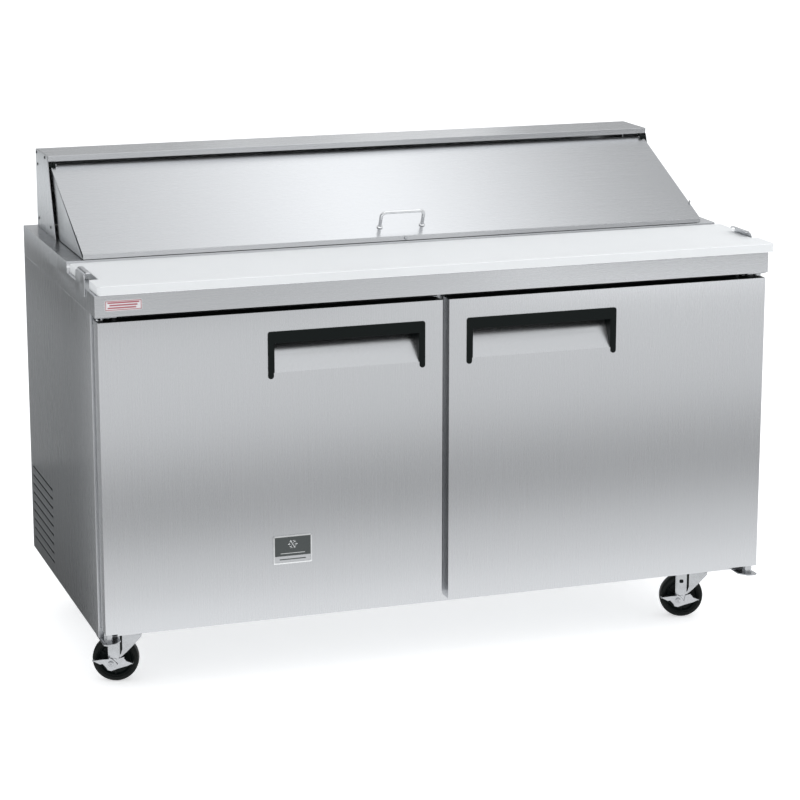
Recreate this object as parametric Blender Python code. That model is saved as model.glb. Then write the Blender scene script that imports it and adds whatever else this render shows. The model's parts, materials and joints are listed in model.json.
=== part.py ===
"""Sandwich prep table: a two-door refrigerated counter on casters with a pan well, hood, lid and board.

Metres, +Z up. The origin is on the floor under the middle of the countertop. The doors face -Y.
"""

import math

import bmesh
import bpy
from mathutils import Matrix, Vector

GAP = 0.0003
SHEET = 0.0015

# Countertop and cabinet
HALF_WIDTH = 0.765
HALF_DEPTH = 0.379
COUNTER_HEIGHT = 0.903
BOARD_SEAT = 0.879
SEAM_HEIGHT = 0.834
CABINET_BOTTOM = 0.130
CABINET_FRONT = -0.330
STEP_Y = -0.104
BOARD_LEFT = -0.759
BOARD_RIGHT = 0.780
BOARD_FRONT = -0.381
BOARD_TOP = 0.899
INNER_HALF_WIDTH = HALF_WIDTH - SHEET - GAP
CABINET_TOP = SEAM_HEIGHT - GAP

# Cold space and machine bay
CAVITY_HALF_WIDTH = 0.716
CAVITY_FLOOR = 0.178
CAVITY_CEILING = 0.800
CAVITY_BACK = 0.338
BAY_FRONT = 0.115
BAY_HEIGHT = 0.350
LEDGE_FRONT = 0.076
LEDGE_HEIGHT = 0.392
WELL_HALF_WIDTH = 0.7075
WELL_FRONT = -0.0865
WELL_BACK = 0.2315

# Hood and lid
HOOD_HALF_WIDTH = 0.7330
HOOD_HEIGHT = 1.083
HOOD_FRONT = 0.228
HOOD_BACK = 0.3605
STRIP_BOTTOM = 1.070
HOOD_END_OUTER = 0.7348
LID_HALF_WIDTH = 0.7282
LIP_FRONT = -0.103
LIP_TOP = 0.915
LID_TOP_Y = 0.231
LID_TOP_Z = 1.063
LID_PIVOT = Vector((0.0, 0.226, 1.061))

# Doors
DOOR_OUTER = 0.760
DOOR_INNER = 0.0075
DOOR_FRONT = -0.3775
DOOR_BACK = -0.340
DOOR_BOTTOM = 0.150
DOOR_TOP = 0.822
DOOR_SHEET = 0.0015
HINGE_X = 0.750
HINGE_Y = -0.355
HINGE_PIN_RADIUS = 0.005
PULL_OUTER = 0.398
PULL_INNER = 0.0475
PULL_TOP = 0.779
PULL_BOTTOM = 0.677
PULL_LEG = 0.0125
PULL_BAR = 0.025

# Pans: the well is eight one-third pans long
THIRD = 0.1765
PAN_THIRDS = (1, 1, 2, 2, 1, 1)
PAN_FRONT = -0.0905
PAN_BACK = 0.2355
PAN_RIM_TOP = 0.9076
PAN_DEPTH = 0.150

# Casters
SWIVEL_X = 0.673
SWIVEL_FRONT_Y = -0.250
SWIVEL_REAR_Y = 0.290
TRAIL = 0.0375
WHEEL_RADIUS = 0.0508
WHEEL_SIDES = 28
AXLE_HEIGHT = WHEEL_RADIUS * math.cos(math.pi / WHEEL_SIDES)
FRONT_YAW = math.radians(-19.0)
REAR_YAW = math.radians(168.0)


# ---------------------------------------------------------------- tools


def clear_scene():
    for obj in list(bpy.data.objects):
        bpy.data.objects.remove(obj, do_unlink=True)


def make_material(name, color, roughness, metallic):
    material = bpy.data.materials.new(name)
    material.use_nodes = True
    shader = material.node_tree.nodes["Principled BSDF"]
    shader.inputs["Base Color"].default_value = (*color, 1.0)
    shader.inputs["Roughness"].default_value = roughness
    shader.inputs["Metallic"].default_value = metallic
    return material


def add_box(bm, low, high):
    """A cuboid between two opposite corners, given in either order."""
    low, high = Vector(low), Vector(high)
    middle = (low + high) / 2
    size = Vector(abs(a - b) for a, b in zip(low, high))
    matrix = Matrix.Translation(middle) @ Matrix.Diagonal((*size, 1.0))
    bmesh.ops.create_cube(bm, size=1.0, matrix=matrix)
    return bm


def add_prism(bm, outline, axis, start, end):
    """A flat outline extruded along X, Y or Z. The outline's pairs are the two other axes in order."""
    index = "XYZ".index(axis)
    low = []
    for a, b in outline:
        point = [a, b]
        point.insert(index, start)
        low.append(bm.verts.new(point))
    face = bm.faces.new(low)
    step = [0.0, 0.0, 0.0]
    step[index] = end - start
    swept = bmesh.ops.extrude_face_region(bm, geom=[face])
    moved = [item for item in swept["geom"] if isinstance(item, bmesh.types.BMVert)]
    bmesh.ops.translate(bm, verts=moved, vec=step)
    return bm


def add_rod(bm, start, end, radius, sides=16):
    start, end = Vector(start), Vector(end)
    along = end - start
    turn = along.to_track_quat("Z", "Y").to_matrix().to_4x4()
    matrix = Matrix.Translation((start + end) / 2) @ turn
    bmesh.ops.create_cone(
        bm, cap_ends=True, segments=sides, radius1=radius, radius2=radius, depth=along.length, matrix=matrix
    )
    return bm


def add_turned(bm, profile, centre, axis, sides):
    """A closed profile of (radius, height) pairs turned round an axis through centre."""
    turn = Vector(axis).to_track_quat("Z", "Y").to_matrix().to_4x4()
    place = Matrix.Translation(centre) @ turn
    rings = []
    for radius, height in profile:
        ring = []
        for step in range(sides):
            angle = 2 * math.pi * (step + 0.5) / sides
            point = Vector((radius * math.cos(angle), radius * math.sin(angle), height))
            ring.append(bm.verts.new(place @ point))
        rings.append(ring)
    for near, far in zip(rings, rings[1:] + rings[:1]):
        for step in range(sides):
            after = (step + 1) % sides
            bm.faces.new((near[step], near[after], far[after], far[step]))
    return bm


def rounded_rectangle(low, high, radius, steps):
    """Corner points of a rectangle with round corners, anticlockwise from the low corner."""
    points = []
    corners = ((low[0], low[1], 180), (high[0], low[1], 270), (high[0], high[1], 0), (low[0], high[1], 90))
    for x, y, first in corners:
        inward_x = radius if x == low[0] else -radius
        inward_y = radius if y == low[1] else -radius
        for step in range(steps + 1):
            angle = math.radians(first + 90 * step / steps)
            points.append((x + inward_x + radius * math.cos(angle), y + inward_y + radius * math.sin(angle)))
    return points


def make_object(name, bm, material=None):
    bmesh.ops.recalc_face_normals(bm, faces=bm.faces)
    mesh = bpy.data.meshes.new(name)
    bm.to_mesh(mesh)
    bm.free()
    if material:
        mesh.materials.append(material)
    obj = bpy.data.objects.new(name, mesh)
    bpy.context.collection.objects.link(obj)
    return obj


def combine(obj, operation, bm):
    """Joins the shapes in bm to the object, or cuts them from it, and keeps the result as its mesh."""
    tool = make_object(obj.name + "_tool", bm)
    modifier = obj.modifiers.new(operation, "BOOLEAN")
    modifier.operation = operation
    modifier.object = tool
    modifier.use_self = operation == "UNION"
    graph = bpy.context.evaluated_depsgraph_get()
    result = bpy.data.meshes.new_from_object(obj.evaluated_get(graph))
    obj.modifiers.remove(modifier)
    before = obj.data
    obj.data = result
    bpy.data.meshes.remove(before)
    bpy.data.objects.remove(tool, do_unlink=True)
    return obj


def join(obj, bm):
    return combine(obj, "UNION", bm)


def cut(obj, bm):
    return combine(obj, "DIFFERENCE", bm)


def new():
    return bmesh.new()


def joint_empty(name, location, yaw=0.0):
    empty = bpy.data.objects.new(name, None)
    empty.location = location
    empty.rotation_euler = (0.0, 0.0, yaw)
    bpy.context.collection.objects.link(empty)
    return empty


def hang(empty, *objects):
    """Parents pieces that were modelled in place to a joint's empty without moving them."""
    bpy.context.view_layer.update()
    for obj in objects:
        obj.parent = empty
        obj.matrix_parent_inverse = empty.matrix_world.inverted()


def smooth(obj, degrees=35.0):
    obj.data.shade_smooth()
    obj.data.set_sharp_from_angle(angle=math.radians(degrees))


# ---------------------------------------------------------------- cabinet


def side_panel(side, name, looks):
    """A sheet with front and rear flanges turned inwards, as a U in plan."""
    front_flange, rear_flange = 0.740, 0.745
    x, inner = side * HALF_WIDTH, side * (HALF_WIDTH - SHEET)
    outline = (
        (side * front_flange, CABINET_FRONT),
        (x, CABINET_FRONT),
        (x, HALF_DEPTH),
        (side * rear_flange, HALF_DEPTH),
        (side * rear_flange, HALF_DEPTH - SHEET),
        (inner, HALF_DEPTH - SHEET),
        (inner, CABINET_FRONT + SHEET),
        (side * front_flange, CABINET_FRONT + SHEET),
    )
    return make_object(name, add_prism(new(), outline, "Z", CABINET_BOTTOM, CABINET_TOP), looks)


def cut_louvres(panel):
    slots, first, pitch, height = 9, 0.334, 0.0215, 0.008
    tools = new()
    for row in range(slots):
        z = first - row * pitch
        add_box(tools, (-HALF_WIDTH - 0.01, 0.130, z - height / 2), (-HALF_WIDTH + 0.01, 0.360, z + height / 2))
    return cut(panel, tools)


def back_panel(looks):
    back = HALF_DEPTH - SHEET - GAP
    panel = add_box(
        new(), (-INNER_HALF_WIDTH, back - SHEET, CABINET_BOTTOM + 0.0023), (INNER_HALF_WIDTH, back, CABINET_TOP)
    )
    panel = make_object("back_panel", panel, looks)
    vents = new()
    for column in (-0.52, -0.26, 0.0, 0.26):
        for row in range(6):
            z = 0.175 + row * 0.027
            add_box(vents, (column - 0.1, back - 0.01, z), (column + 0.1, back + 0.01, z + 0.010))
    add_box(vents, (0.5942, back - 0.01, 0.1647), (0.6458, back + 0.01, 0.1953))
    return cut(panel, vents)


def base_pan(looks):
    low = (-INNER_HALF_WIDTH, CABINET_FRONT + SHEET + GAP, CABINET_BOTTOM)
    high = (INNER_HALF_WIDTH, HALF_DEPTH - SHEET - GAP, CABINET_BOTTOM + 0.002)
    return make_object("base_pan", add_box(new(), low, high), looks)


def cavity_outline(inset, front):
    """The cold space from the side: a floor, a ledge over the machine bay and a ceiling."""
    return (
        (front, CAVITY_FLOOR + inset),
        (LEDGE_FRONT - inset, CAVITY_FLOOR + inset),
        (LEDGE_FRONT - inset, LEDGE_HEIGHT + inset),
        (CAVITY_BACK - inset, LEDGE_HEIGHT + inset),
        (CAVITY_BACK - inset, CAVITY_CEILING - inset),
        (front, CAVITY_CEILING - inset),
    )


def add_cavity(bm, inset, front):
    half = CAVITY_HALF_WIDTH - inset
    return add_prism(bm, cavity_outline(inset, front), "X", -half, half)


def add_well(bm, inset, bottom, top):
    low = (-WELL_HALF_WIDTH + inset, WELL_FRONT + inset, bottom)
    return add_box(bm, low, (WELL_HALF_WIDTH - inset, WELL_BACK - inset, top))


def interior_liner(looks):
    front = CABINET_FRONT + SHEET + GAP
    liner = make_object("interior_liner", add_cavity(new(), 0.0, front), looks)
    join(liner, add_well(new(), 0.0, 0.790, COUNTER_HEIGHT))
    cut(liner, add_cavity(new(), SHEET, front - 0.02))
    return cut(liner, add_well(new(), SHEET, 0.780, COUNTER_HEIGHT + 0.02))


def insulation(looks):
    """Foam between the outer sheets and the liner, up into the countertop."""
    front = CABINET_FRONT + SHEET + GAP
    half = INNER_HALF_WIDTH
    foam = add_box(new(), (-half, front, CABINET_BOTTOM + 0.0023), (half, 0.3754, 0.840))
    foam = make_object("insulation", foam, looks)
    core = HALF_DEPTH - SHEET - GAP
    seat = BOARD_SEAT - SHEET - GAP
    outline = (
        (-core, SEAM_HEIGHT + SHEET + GAP),
        (core, SEAM_HEIGHT + SHEET + GAP),
        (core, COUNTER_HEIGHT - SHEET - GAP),
        (STEP_Y + SHEET + GAP, COUNTER_HEIGHT - SHEET - GAP),
        (STEP_Y + SHEET + GAP, seat),
        (-core, seat),
    )
    join(foam, add_prism(new(), outline, "X", -half, half))
    cut(foam, add_box(new(), (-0.9, BAY_FRONT, 0.100), (0.9, 0.450, BAY_HEIGHT)))
    cut(foam, add_cavity(new(), -GAP, front - 0.02))
    return cut(foam, add_well(new(), -GAP, 0.780, COUNTER_HEIGHT + 0.02))


def front_frame(looks):
    """The face that the gaskets meet, with the post between the doors."""
    half = 0.740 - GAP
    frame = add_box(new(), (-half, CABINET_FRONT, CABINET_BOTTOM), (half, CABINET_FRONT + SHEET, CABINET_TOP))
    frame = make_object("front_frame", frame, looks)
    openings = new()
    for side in (-1, 1):
        low = (side * 0.036, CABINET_FRONT - 0.02, CAVITY_FLOOR + SHEET)
        high = (side * (CAVITY_HALF_WIDTH - SHEET), CABINET_FRONT + 0.02, CAVITY_CEILING - SHEET)
        add_box(openings, low, high)
    cut(frame, openings)
    return join(frame, add_box(new(), (-0.030, CABINET_FRONT + 0.001, 0.182), (0.030, -0.290, 0.796)))


def countertop(looks):
    outline = (
        (-HALF_DEPTH, SEAM_HEIGHT),
        (HALF_DEPTH, SEAM_HEIGHT),
        (HALF_DEPTH, COUNTER_HEIGHT),
        (STEP_Y, COUNTER_HEIGHT),
        (STEP_Y, BOARD_SEAT),
        (-HALF_DEPTH, BOARD_SEAT),
    )
    top = make_object("countertop", add_prism(new(), outline, "X", -HALF_WIDTH, HALF_WIDTH), looks)
    inner = HALF_DEPTH - SHEET
    below = SEAM_HEIGHT - 0.02
    hollow = (
        (-inner, SEAM_HEIGHT + SHEET),
        (CABINET_FRONT - GAP, SEAM_HEIGHT + SHEET),
        (CABINET_FRONT - GAP, below),
        (inner, below),
        (inner, COUNTER_HEIGHT - SHEET),
        (STEP_Y + SHEET, COUNTER_HEIGHT - SHEET),
        (STEP_Y + SHEET, BOARD_SEAT - SHEET),
        (-inner, BOARD_SEAT - SHEET),
    )
    cut(top, add_prism(new(), hollow, "X", -HALF_WIDTH + SHEET, HALF_WIDTH - SHEET))
    return cut(top, add_well(new(), -GAP, 0.860, COUNTER_HEIGHT + 0.02))


def board_bracket(side, name, looks):
    """An upright plate on the skirt that stands in the board's notch."""
    inner = HALF_WIDTH + GAP
    outline = [(-0.204, 0.862), (-0.204, 0.896)]
    for turn in (30, 60, 90):
        angle = math.radians(turn)
        outline.append((-0.216 + 0.012 * math.cos(angle), 0.896 + 0.012 * math.sin(angle)))
    for turn in (90, 120, 150, 180):
        angle = math.radians(turn)
        outline.append((-0.280 + 0.012 * math.cos(angle), 0.896 + 0.012 * math.sin(angle)))
    outline.append((-0.292, 0.862))
    return make_object(name, add_prism(new(), outline, "X", side * inner, side * (inner + 0.002)), looks)


def cutting_board(looks):
    outline = rounded_rectangle((BOARD_LEFT, BOARD_FRONT), (BOARD_RIGHT, STEP_Y - 0.002), 0.008, 3)
    board = make_object("cutting_board", add_prism(new(), outline, "Z", BOARD_SEAT + GAP, BOARD_TOP), looks)
    notches = new()
    for low_x, high_x in ((-0.800, -0.739), (0.764, 0.800)):
        add_box(notches, (low_x, -0.300, 0.870), (high_x, -0.196, 0.910))
    return cut(board, notches)


# ---------------------------------------------------------------- hood and lid


def hood_cover(looks):
    """The fixed top with its shallow front strip and its back sheet, between the end panels."""
    bottom = COUNTER_HEIGHT + GAP
    cover = add_box(new(), (-HOOD_HALF_WIDTH, HOOD_FRONT, bottom), (HOOD_HALF_WIDTH, HOOD_BACK, HOOD_HEIGHT))
    cover = make_object("hood_cover", cover, looks)
    inside = add_box(new(), (-1.0, HOOD_FRONT + SHEET, 0.85), (1.0, HOOD_BACK - SHEET, HOOD_HEIGHT - SHEET))
    cut(cover, inside)
    return cut(cover, add_box(new(), (-1.0, 0.20, 0.85), (1.0, HOOD_BACK - SHEET, STRIP_BOTTOM)))


def hood_end(side, name, looks):
    """A sloping end panel that carries the lid's pivot pin on its inner face."""
    outline = (
        (0.159, COUNTER_HEIGHT + GAP),
        (HOOD_BACK, COUNTER_HEIGHT + GAP),
        (HOOD_BACK, HOOD_HEIGHT),
        (HOOD_FRONT, HOOD_HEIGHT),
        (HOOD_FRONT, STRIP_BOTTOM),
        (0.224, STRIP_BOTTOM),
    )
    inner = HOOD_END_OUTER - SHEET
    panel = add_prism(new(), outline, "X", side * inner, side * HOOD_END_OUTER)
    panel = make_object(name, panel, looks)
    pin_end = LID_PIVOT + Vector((side * 0.715, 0.0, 0.0))
    pin_root = LID_PIVOT + Vector((side * (inner + 0.001), 0.0, 0.0))
    return join(panel, add_rod(new(), pin_end, pin_root, 0.004, 12))


def lid_slope():
    """Unit vectors along the lid's slope and out of its face, in the YZ plane."""
    along = Vector((0.0, LID_TOP_Y - LIP_FRONT, LID_TOP_Z - LIP_TOP)).normalized()
    return along, Vector((0.0, -along.z, along.y))


def lid_point(y, depth):
    """A point on the lid's face above y, sunk by depth into the lid, as (y, z)."""
    along, out = lid_slope()
    z = LIP_TOP + (y - LIP_FRONT) * along.z / along.y
    return (y - out.y * depth, z - out.z * depth)


def lid_panel(looks):
    lip_bottom = COUNTER_HEIGHT + 0.0018
    face = (
        (LIP_FRONT, lip_bottom),
        (LIP_FRONT + SHEET, lip_bottom),
        (LIP_FRONT + SHEET, LIP_TOP - 0.0007),
        lid_point(LID_TOP_Y, SHEET),
        lid_point(LID_TOP_Y, 0.0),
        (LIP_FRONT, LIP_TOP),
    )
    lid = add_prism(new(), face, "X", -LID_HALF_WIDTH, LID_HALF_WIDTH)
    lid = make_object("lid_panel", lid, looks)
    cheek = (
        (LIP_FRONT + 0.0002, lip_bottom),
        (0.149, lip_bottom),
        lid_point(0.212, 0.0004),
        lid_point(LIP_FRONT + 0.0002, 0.0004),
    )
    extras = new()
    holes = new()
    for side in (-1, 1):
        add_prism(extras, cheek, "X", side * (LID_HALF_WIDTH - SHEET), side * (LID_HALF_WIDTH - 0.0001))
        near = LID_PIVOT + Vector((side * 0.718, 0.0, 0.0))
        far = LID_PIVOT + Vector((side * 0.722, 0.0, 0.0))
        add_rod(extras, near, far, 0.0078, 16)
        bore_start = LID_PIVOT + Vector((side * 0.7135, 0.0, 0.0))
        bore_end = LID_PIVOT + Vector((side * 0.740, 0.0, 0.0))
        add_rod(holes, bore_start, bore_end, 0.0044, 12)
    join(lid, extras)
    return cut(lid, holes)


def lid_liner(looks):
    half = 0.712
    outline = (
        lid_point(-0.060, SHEET + GAP),
        lid_point(0.190, SHEET + GAP),
        lid_point(0.180, 0.015),
        lid_point(-0.045, 0.015),
    )
    return make_object("lid_liner", add_prism(new(), outline, "X", -half, half), looks)


def lid_handle(looks):
    """A round wire standing off the lid, with its corners bent round."""
    foot_y, height, bend, radius = -0.0665, 0.040, 0.012, 0.0038
    start_x, end_x = -0.046, 0.054
    out = lid_slope()[1]
    base = Vector((0.0, *lid_point(foot_y, -GAP)))
    route = [base + Vector((start_x, 0.0, 0.0))]
    for corner_x, turns in ((start_x + bend, (180, 150, 120, 90)), (end_x - bend, (90, 60, 30, 0))):
        for turn in turns:
            angle = math.radians(turn)
            rise = height - bend + bend * math.sin(angle)
            route.append(base + out * rise + Vector((corner_x + bend * math.cos(angle), 0.0, 0.0)))
    route.append(base + Vector((end_x, 0.0, 0.0)))
    curve = bpy.data.curves.new("lid_handle", "CURVE")
    curve.dimensions = "3D"
    curve.bevel_depth = radius
    curve.bevel_resolution = 2
    curve.use_fill_caps = True
    spline = curve.splines.new("POLY")
    spline.points.add(len(route) - 1)
    for point, place in zip(spline.points, route):
        point.co = (*place, 1.0)
    curve.materials.append(looks)
    obj = bpy.data.objects.new("lid_handle", curve)
    bpy.context.collection.objects.link(obj)
    return obj


# ---------------------------------------------------------------- pans and shelves


def pan_spans():
    """The low and high X of each pan's share of the well."""
    spans = []
    x = -THIRD * sum(PAN_THIRDS) / 2
    for thirds in PAN_THIRDS:
        spans.append((x, x + thirds * THIRD))
        x += thirds * THIRD
    return spans


def pan_rail(looks):
    """The frame that hangs in the well and carries the pans' rims."""
    bottom, top = 0.885, 0.9053
    rail = add_box(new(), (-0.713, -0.093, COUNTER_HEIGHT + GAP), (0.713, 0.238, top))
    rail = make_object("pan_rail", rail, looks)
    join(rail, add_box(new(), (-0.7055, -0.0845, bottom), (0.7055, 0.2295, top - 0.0005)))
    openings = new()
    bar = 0.003
    for low, high in pan_spans():
        start = max(low + bar, -0.702)
        end = min(high - bar, 0.702)
        add_box(openings, (start, -0.081, bottom - 0.02), (end, 0.226, top + 0.02))
    return cut(rail, openings)


def food_pan(name, low, high, looks):
    """A pan with a flat rim, sides that lean in and round corners, open at the top."""
    clearance, rim, wall, lean = 0.0005, 0.012, 0.0012, 0.010
    rim_low = (low + clearance, PAN_FRONT)
    rim_high = (high - clearance, PAN_BACK)
    floor = PAN_RIM_TOP - PAN_DEPTH
    under_rim = 0.9056
    levels = (
        (rim + lean, floor, 0.020),
        (rim, under_rim, 0.022),
        (0.0, under_rim, 0.012),
        (0.0, PAN_RIM_TOP, 0.012),
        (rim + wall, PAN_RIM_TOP, 0.021),
        (rim + lean + wall, floor + wall, 0.019),
    )
    bm = new()
    rings = []
    for inset, z, radius in levels:
        inner_low = (rim_low[0] + inset, rim_low[1] + inset)
        inner_high = (rim_high[0] - inset, rim_high[1] - inset)
        outline = rounded_rectangle(inner_low, inner_high, radius, 2)
        rings.append([bm.verts.new((x, y, z)) for x, y in outline])
    count = len(rings[0])
    for near, far in zip(rings, rings[1:]):
        for step in range(count):
            after = (step + 1) % count
            bm.faces.new((near[step], near[after], far[after], far[step]))
    bm.faces.new(rings[0])
    bm.faces.new(rings[-1])
    return make_object(name, bm, looks)


def wire_shelf(side, name, looks):
    """A shelf of crossing wires, drawn as a flat grid of bars."""
    low_x, high_x, front, back, bottom, top = 0.008, 0.7125, -0.284, 0.200, 0.474, 0.480
    rim, wires, bar = 0.006, 12, 0.004
    grid = add_box(new(), (side * low_x, front, bottom), (side * high_x, back, top))
    grid = make_object(name, grid, looks)
    holes = new()
    pitch = (high_x - low_x - 2 * rim + bar) / wires
    middle = (front + back) / 2
    for index in range(wires):
        start = low_x + rim + index * pitch
        for near, far in ((front + rim, middle - bar / 2), (middle + bar / 2, back - rim)):
            add_box(holes, (side * start, near, bottom - 0.01), (side * (start + pitch - bar), far, top + 0.01))
    return cut(grid, holes)


# ---------------------------------------------------------------- cold and machine parts


def add_blades(bm, hub, axis, reach, count, width, pitch_degrees):
    """Flat blades round a hub, each turned about its own length."""
    to_axis = Vector(axis).to_track_quat("Z", "Y").to_matrix().to_4x4()
    for index in range(count):
        around = Matrix.Rotation(2 * math.pi * index / count, 4, "Z")
        tilt = Matrix.Rotation(math.radians(pitch_degrees), 4, "X")
        shape = Matrix.Diagonal((reach - 0.012, width, 0.0016, 1.0))
        place = Matrix.Translation((0.012 + (reach - 0.012) / 2, 0.0, 0.0))
        matrix = Matrix.Translation(hub) @ to_axis @ around @ place @ tilt @ shape
        bmesh.ops.create_cube(bm, size=1.0, matrix=matrix)
    return bm


def evaporator_housing(looks):
    """The cooling coil's case, with a round recess for the fan and the motor on its back wall."""
    housing = add_box(new(), (-0.250, 0.228, 0.430), (0.250, 0.336, 0.650))
    housing = make_object("evaporator_housing", housing, looks)
    cut(housing, add_rod(new(), (0.0, 0.20, 0.545), (0.0, 0.300, 0.545), 0.075, 24))
    return join(housing, add_rod(new(), (0.0, 0.262, 0.545), (0.0, 0.305, 0.545), 0.018, 16))


def evaporator_fan(looks):
    fan = add_rod(new(), (0.0, 0.240, 0.545), (0.0, 0.262 - GAP, 0.545), 0.022, 16)
    fan = make_object("evaporator_fan", fan, looks)
    return join(fan, add_blades(new(), (0.0, 0.250, 0.545), (0, 1, 0), 0.070, 5, 0.030, 28))


def thermostat_knob(looks):
    front = 0.228 - GAP
    knob = add_rod(new(), (0.200, front, 0.600), (0.200, front - 0.016, 0.600), 0.017, 20)
    knob = make_object("thermostat_knob", knob, looks)
    return join(knob, add_box(new(), (0.198, 0.2085, 0.586), (0.202, 0.2200, 0.614)))


def compressor(looks):
    """A hermetic can on a foot plate, with its terminal box."""
    x, y = 0.330, 0.245
    can = (
        (0.0001, 0.0),
        (0.060, 0.0),
        (0.074, 0.018),
        (0.074, 0.085),
        (0.077, 0.088),
        (0.077, 0.094),
        (0.074, 0.097),
        (0.070, 0.140),
        (0.050, 0.168),
        (0.0001, 0.176),
    )
    body = make_object("compressor", add_turned(new(), can, (x, y, 0.146), (0, 0, 1), 20), looks)
    mounts = add_box(new(), (x - 0.095, y - 0.070, 0.144), (x + 0.095, y + 0.070, 0.148))
    add_box(mounts, (x - 0.030, y - 0.100, 0.190), (x + 0.030, y - 0.060, 0.250))
    for foot_x in (-0.080, 0.080):
        for foot_y in (-0.055, 0.055):
            start = (x + foot_x, y + foot_y, CABINET_BOTTOM + 0.0023)
            add_rod(mounts, start, (x + foot_x, y + foot_y, 0.146), 0.011, 10)
    return join(body, mounts)


def condenser(looks):
    """Coil block behind the louvres, its fan shroud and the motor on a post, on one base."""
    unit = add_box(new(), (-0.735, 0.140, 0.133), (-0.560, 0.352, 0.1353))
    unit = make_object("condenser", unit, looks)
    centre_y, centre_z = 0.246, 0.240
    join(unit, add_box(new(), (-0.735, 0.140, 0.134), (-0.655, 0.352, 0.335)))
    cut(unit, add_rod(new(), (-0.690, centre_y, centre_z), (-0.60, centre_y, centre_z), 0.076, 24))
    motor = add_box(new(), (-0.606, centre_y - 0.012, 0.134), (-0.594, centre_y + 0.012, centre_z))
    add_rod(motor, (-0.615, centre_y, centre_z), (-0.560, centre_y, centre_z), 0.030, 16)
    return join(unit, motor)


def condenser_fan(looks):
    fan = add_rod(new(), (-0.650, 0.246, 0.240), (-0.615 - GAP, 0.246, 0.240), 0.024, 16)
    fan = make_object("condenser_fan", fan, looks)
    return join(fan, add_blades(new(), (-0.636, 0.246, 0.240), (1, 0, 0), 0.070, 4, 0.034, 30))


def power_inlet(looks):
    """A recessed appliance inlet with three pins, on the back."""
    back = HALF_DEPTH - SHEET
    inlet = add_box(new(), (0.5945, 0.352, 0.165), (0.6455, back + 0.0003, 0.195))
    inlet = make_object("power_inlet", inlet, looks)
    join(inlet, add_box(new(), (0.590, back, 0.160), (0.650, back + 0.0015, 0.200)))
    cut(inlet, add_box(new(), (0.600, 0.360, 0.169), (0.640, 0.40, 0.191)))
    pins = new()
    for x, z in ((0.611, 0.177), (0.629, 0.177), (0.620, 0.184)):
        add_box(pins, (x - 0.0012, 0.358, z - 0.0025), (x + 0.0012, 0.374, z + 0.0025))
    return join(inlet, pins)


# ---------------------------------------------------------------- doors


def mirrored(side, outline):
    return [(side * a, b) for a, b in outline]


def hinge_bracket_bottom(side, name, looks):
    """A plate screwed under the cabinet, with the pin that the door turns on."""
    outline = (
        (0.764, -0.300),
        (0.764, -0.374),
        (0.758, -0.380),
        (0.740, -0.378),
        (0.724, -0.360),
        (0.724, -0.300),
    )
    top = CABINET_BOTTOM - GAP
    plate = add_prism(new(), mirrored(side, outline), "Z", top - 0.003, top)
    plate = make_object(name, plate, looks)
    pin = add_rod(new(), (side * HINGE_X, HINGE_Y, top - 0.001), (side * HINGE_X, HINGE_Y, 0.163), HINGE_PIN_RADIUS)
    join(plate, pin)
    collar = add_rod(new(), (side * HINGE_X, HINGE_Y, top - 0.0005), (side * HINGE_X, HINGE_Y, 0.1485), 0.009)
    return join(plate, collar)


def hinge_bracket_top(side, name, looks):
    low_x, high_x, face = 0.718, 0.763, CABINET_FRONT - GAP
    plate = add_box(new(), (side * low_x, -0.372, 0.8308), (side * high_x, face, 0.8333))
    plate = make_object(name, plate, looks)
    join(plate, add_box(new(), (side * low_x, face - 0.002, 0.8115), (side * high_x, face, 0.8325)))
    pin = add_rod(new(), (side * HINGE_X, HINGE_Y, 0.812), (side * HINGE_X, HINGE_Y, 0.832), HINGE_PIN_RADIUS)
    join(plate, pin)
    collar = add_rod(new(), (side * HINGE_X, HINGE_Y, 0.8235), (side * HINGE_X, HINGE_Y, 0.8315), 0.009)
    return join(plate, collar)


def add_pin_holes(bm, side):
    radius = HINGE_PIN_RADIUS + 0.0006
    for start, end in ((DOOR_BOTTOM - 0.01, 0.166), (0.809, DOOR_TOP + 0.01)):
        add_rod(bm, (side * HINGE_X, HINGE_Y, start), (side * HINGE_X, HINGE_Y, end), radius)
    return bm


def pull_outline(grow, front):
    """The pull's scoop from the side: a slope that runs in to a flat back under the top bar."""
    return (
        (front, 0.690 - grow),
        (DOOR_FRONT + 0.0006 * (grow > 0), 0.690 - grow),
        (-0.3430 + grow, 0.7515),
        (-0.3430 + grow, 0.765 + grow),
        (front, 0.765 + grow),
    )


def add_pull(bm, side, grow, front):
    near = side * (PULL_INNER + PULL_LEG - grow)
    far = side * (PULL_OUTER - PULL_LEG + grow)
    return add_prism(bm, pull_outline(grow, front), "X", near, far)


def door_skin(side, name, looks):
    """A sheet pan with a scoop pressed into its face for the fingers."""
    low = (side * DOOR_INNER, DOOR_FRONT, DOOR_BOTTOM)
    skin = make_object(name, add_box(new(), low, (side * DOOR_OUTER, DOOR_BACK, DOOR_TOP)), looks)
    sheet = DOOR_SHEET
    inside_low = (side * (DOOR_INNER + sheet), DOOR_FRONT + sheet, DOOR_BOTTOM + sheet)
    inside_high = (side * (DOOR_OUTER - sheet), DOOR_BACK + 0.02, DOOR_TOP - sheet)
    cut(skin, add_box(new(), inside_low, inside_high))
    join(skin, add_pull(new(), side, sheet, DOOR_FRONT + 0.0003))
    cut(skin, add_pull(new(), side, 0.0, DOOR_FRONT - 0.02))
    return cut(skin, add_pin_holes(new(), side))


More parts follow.
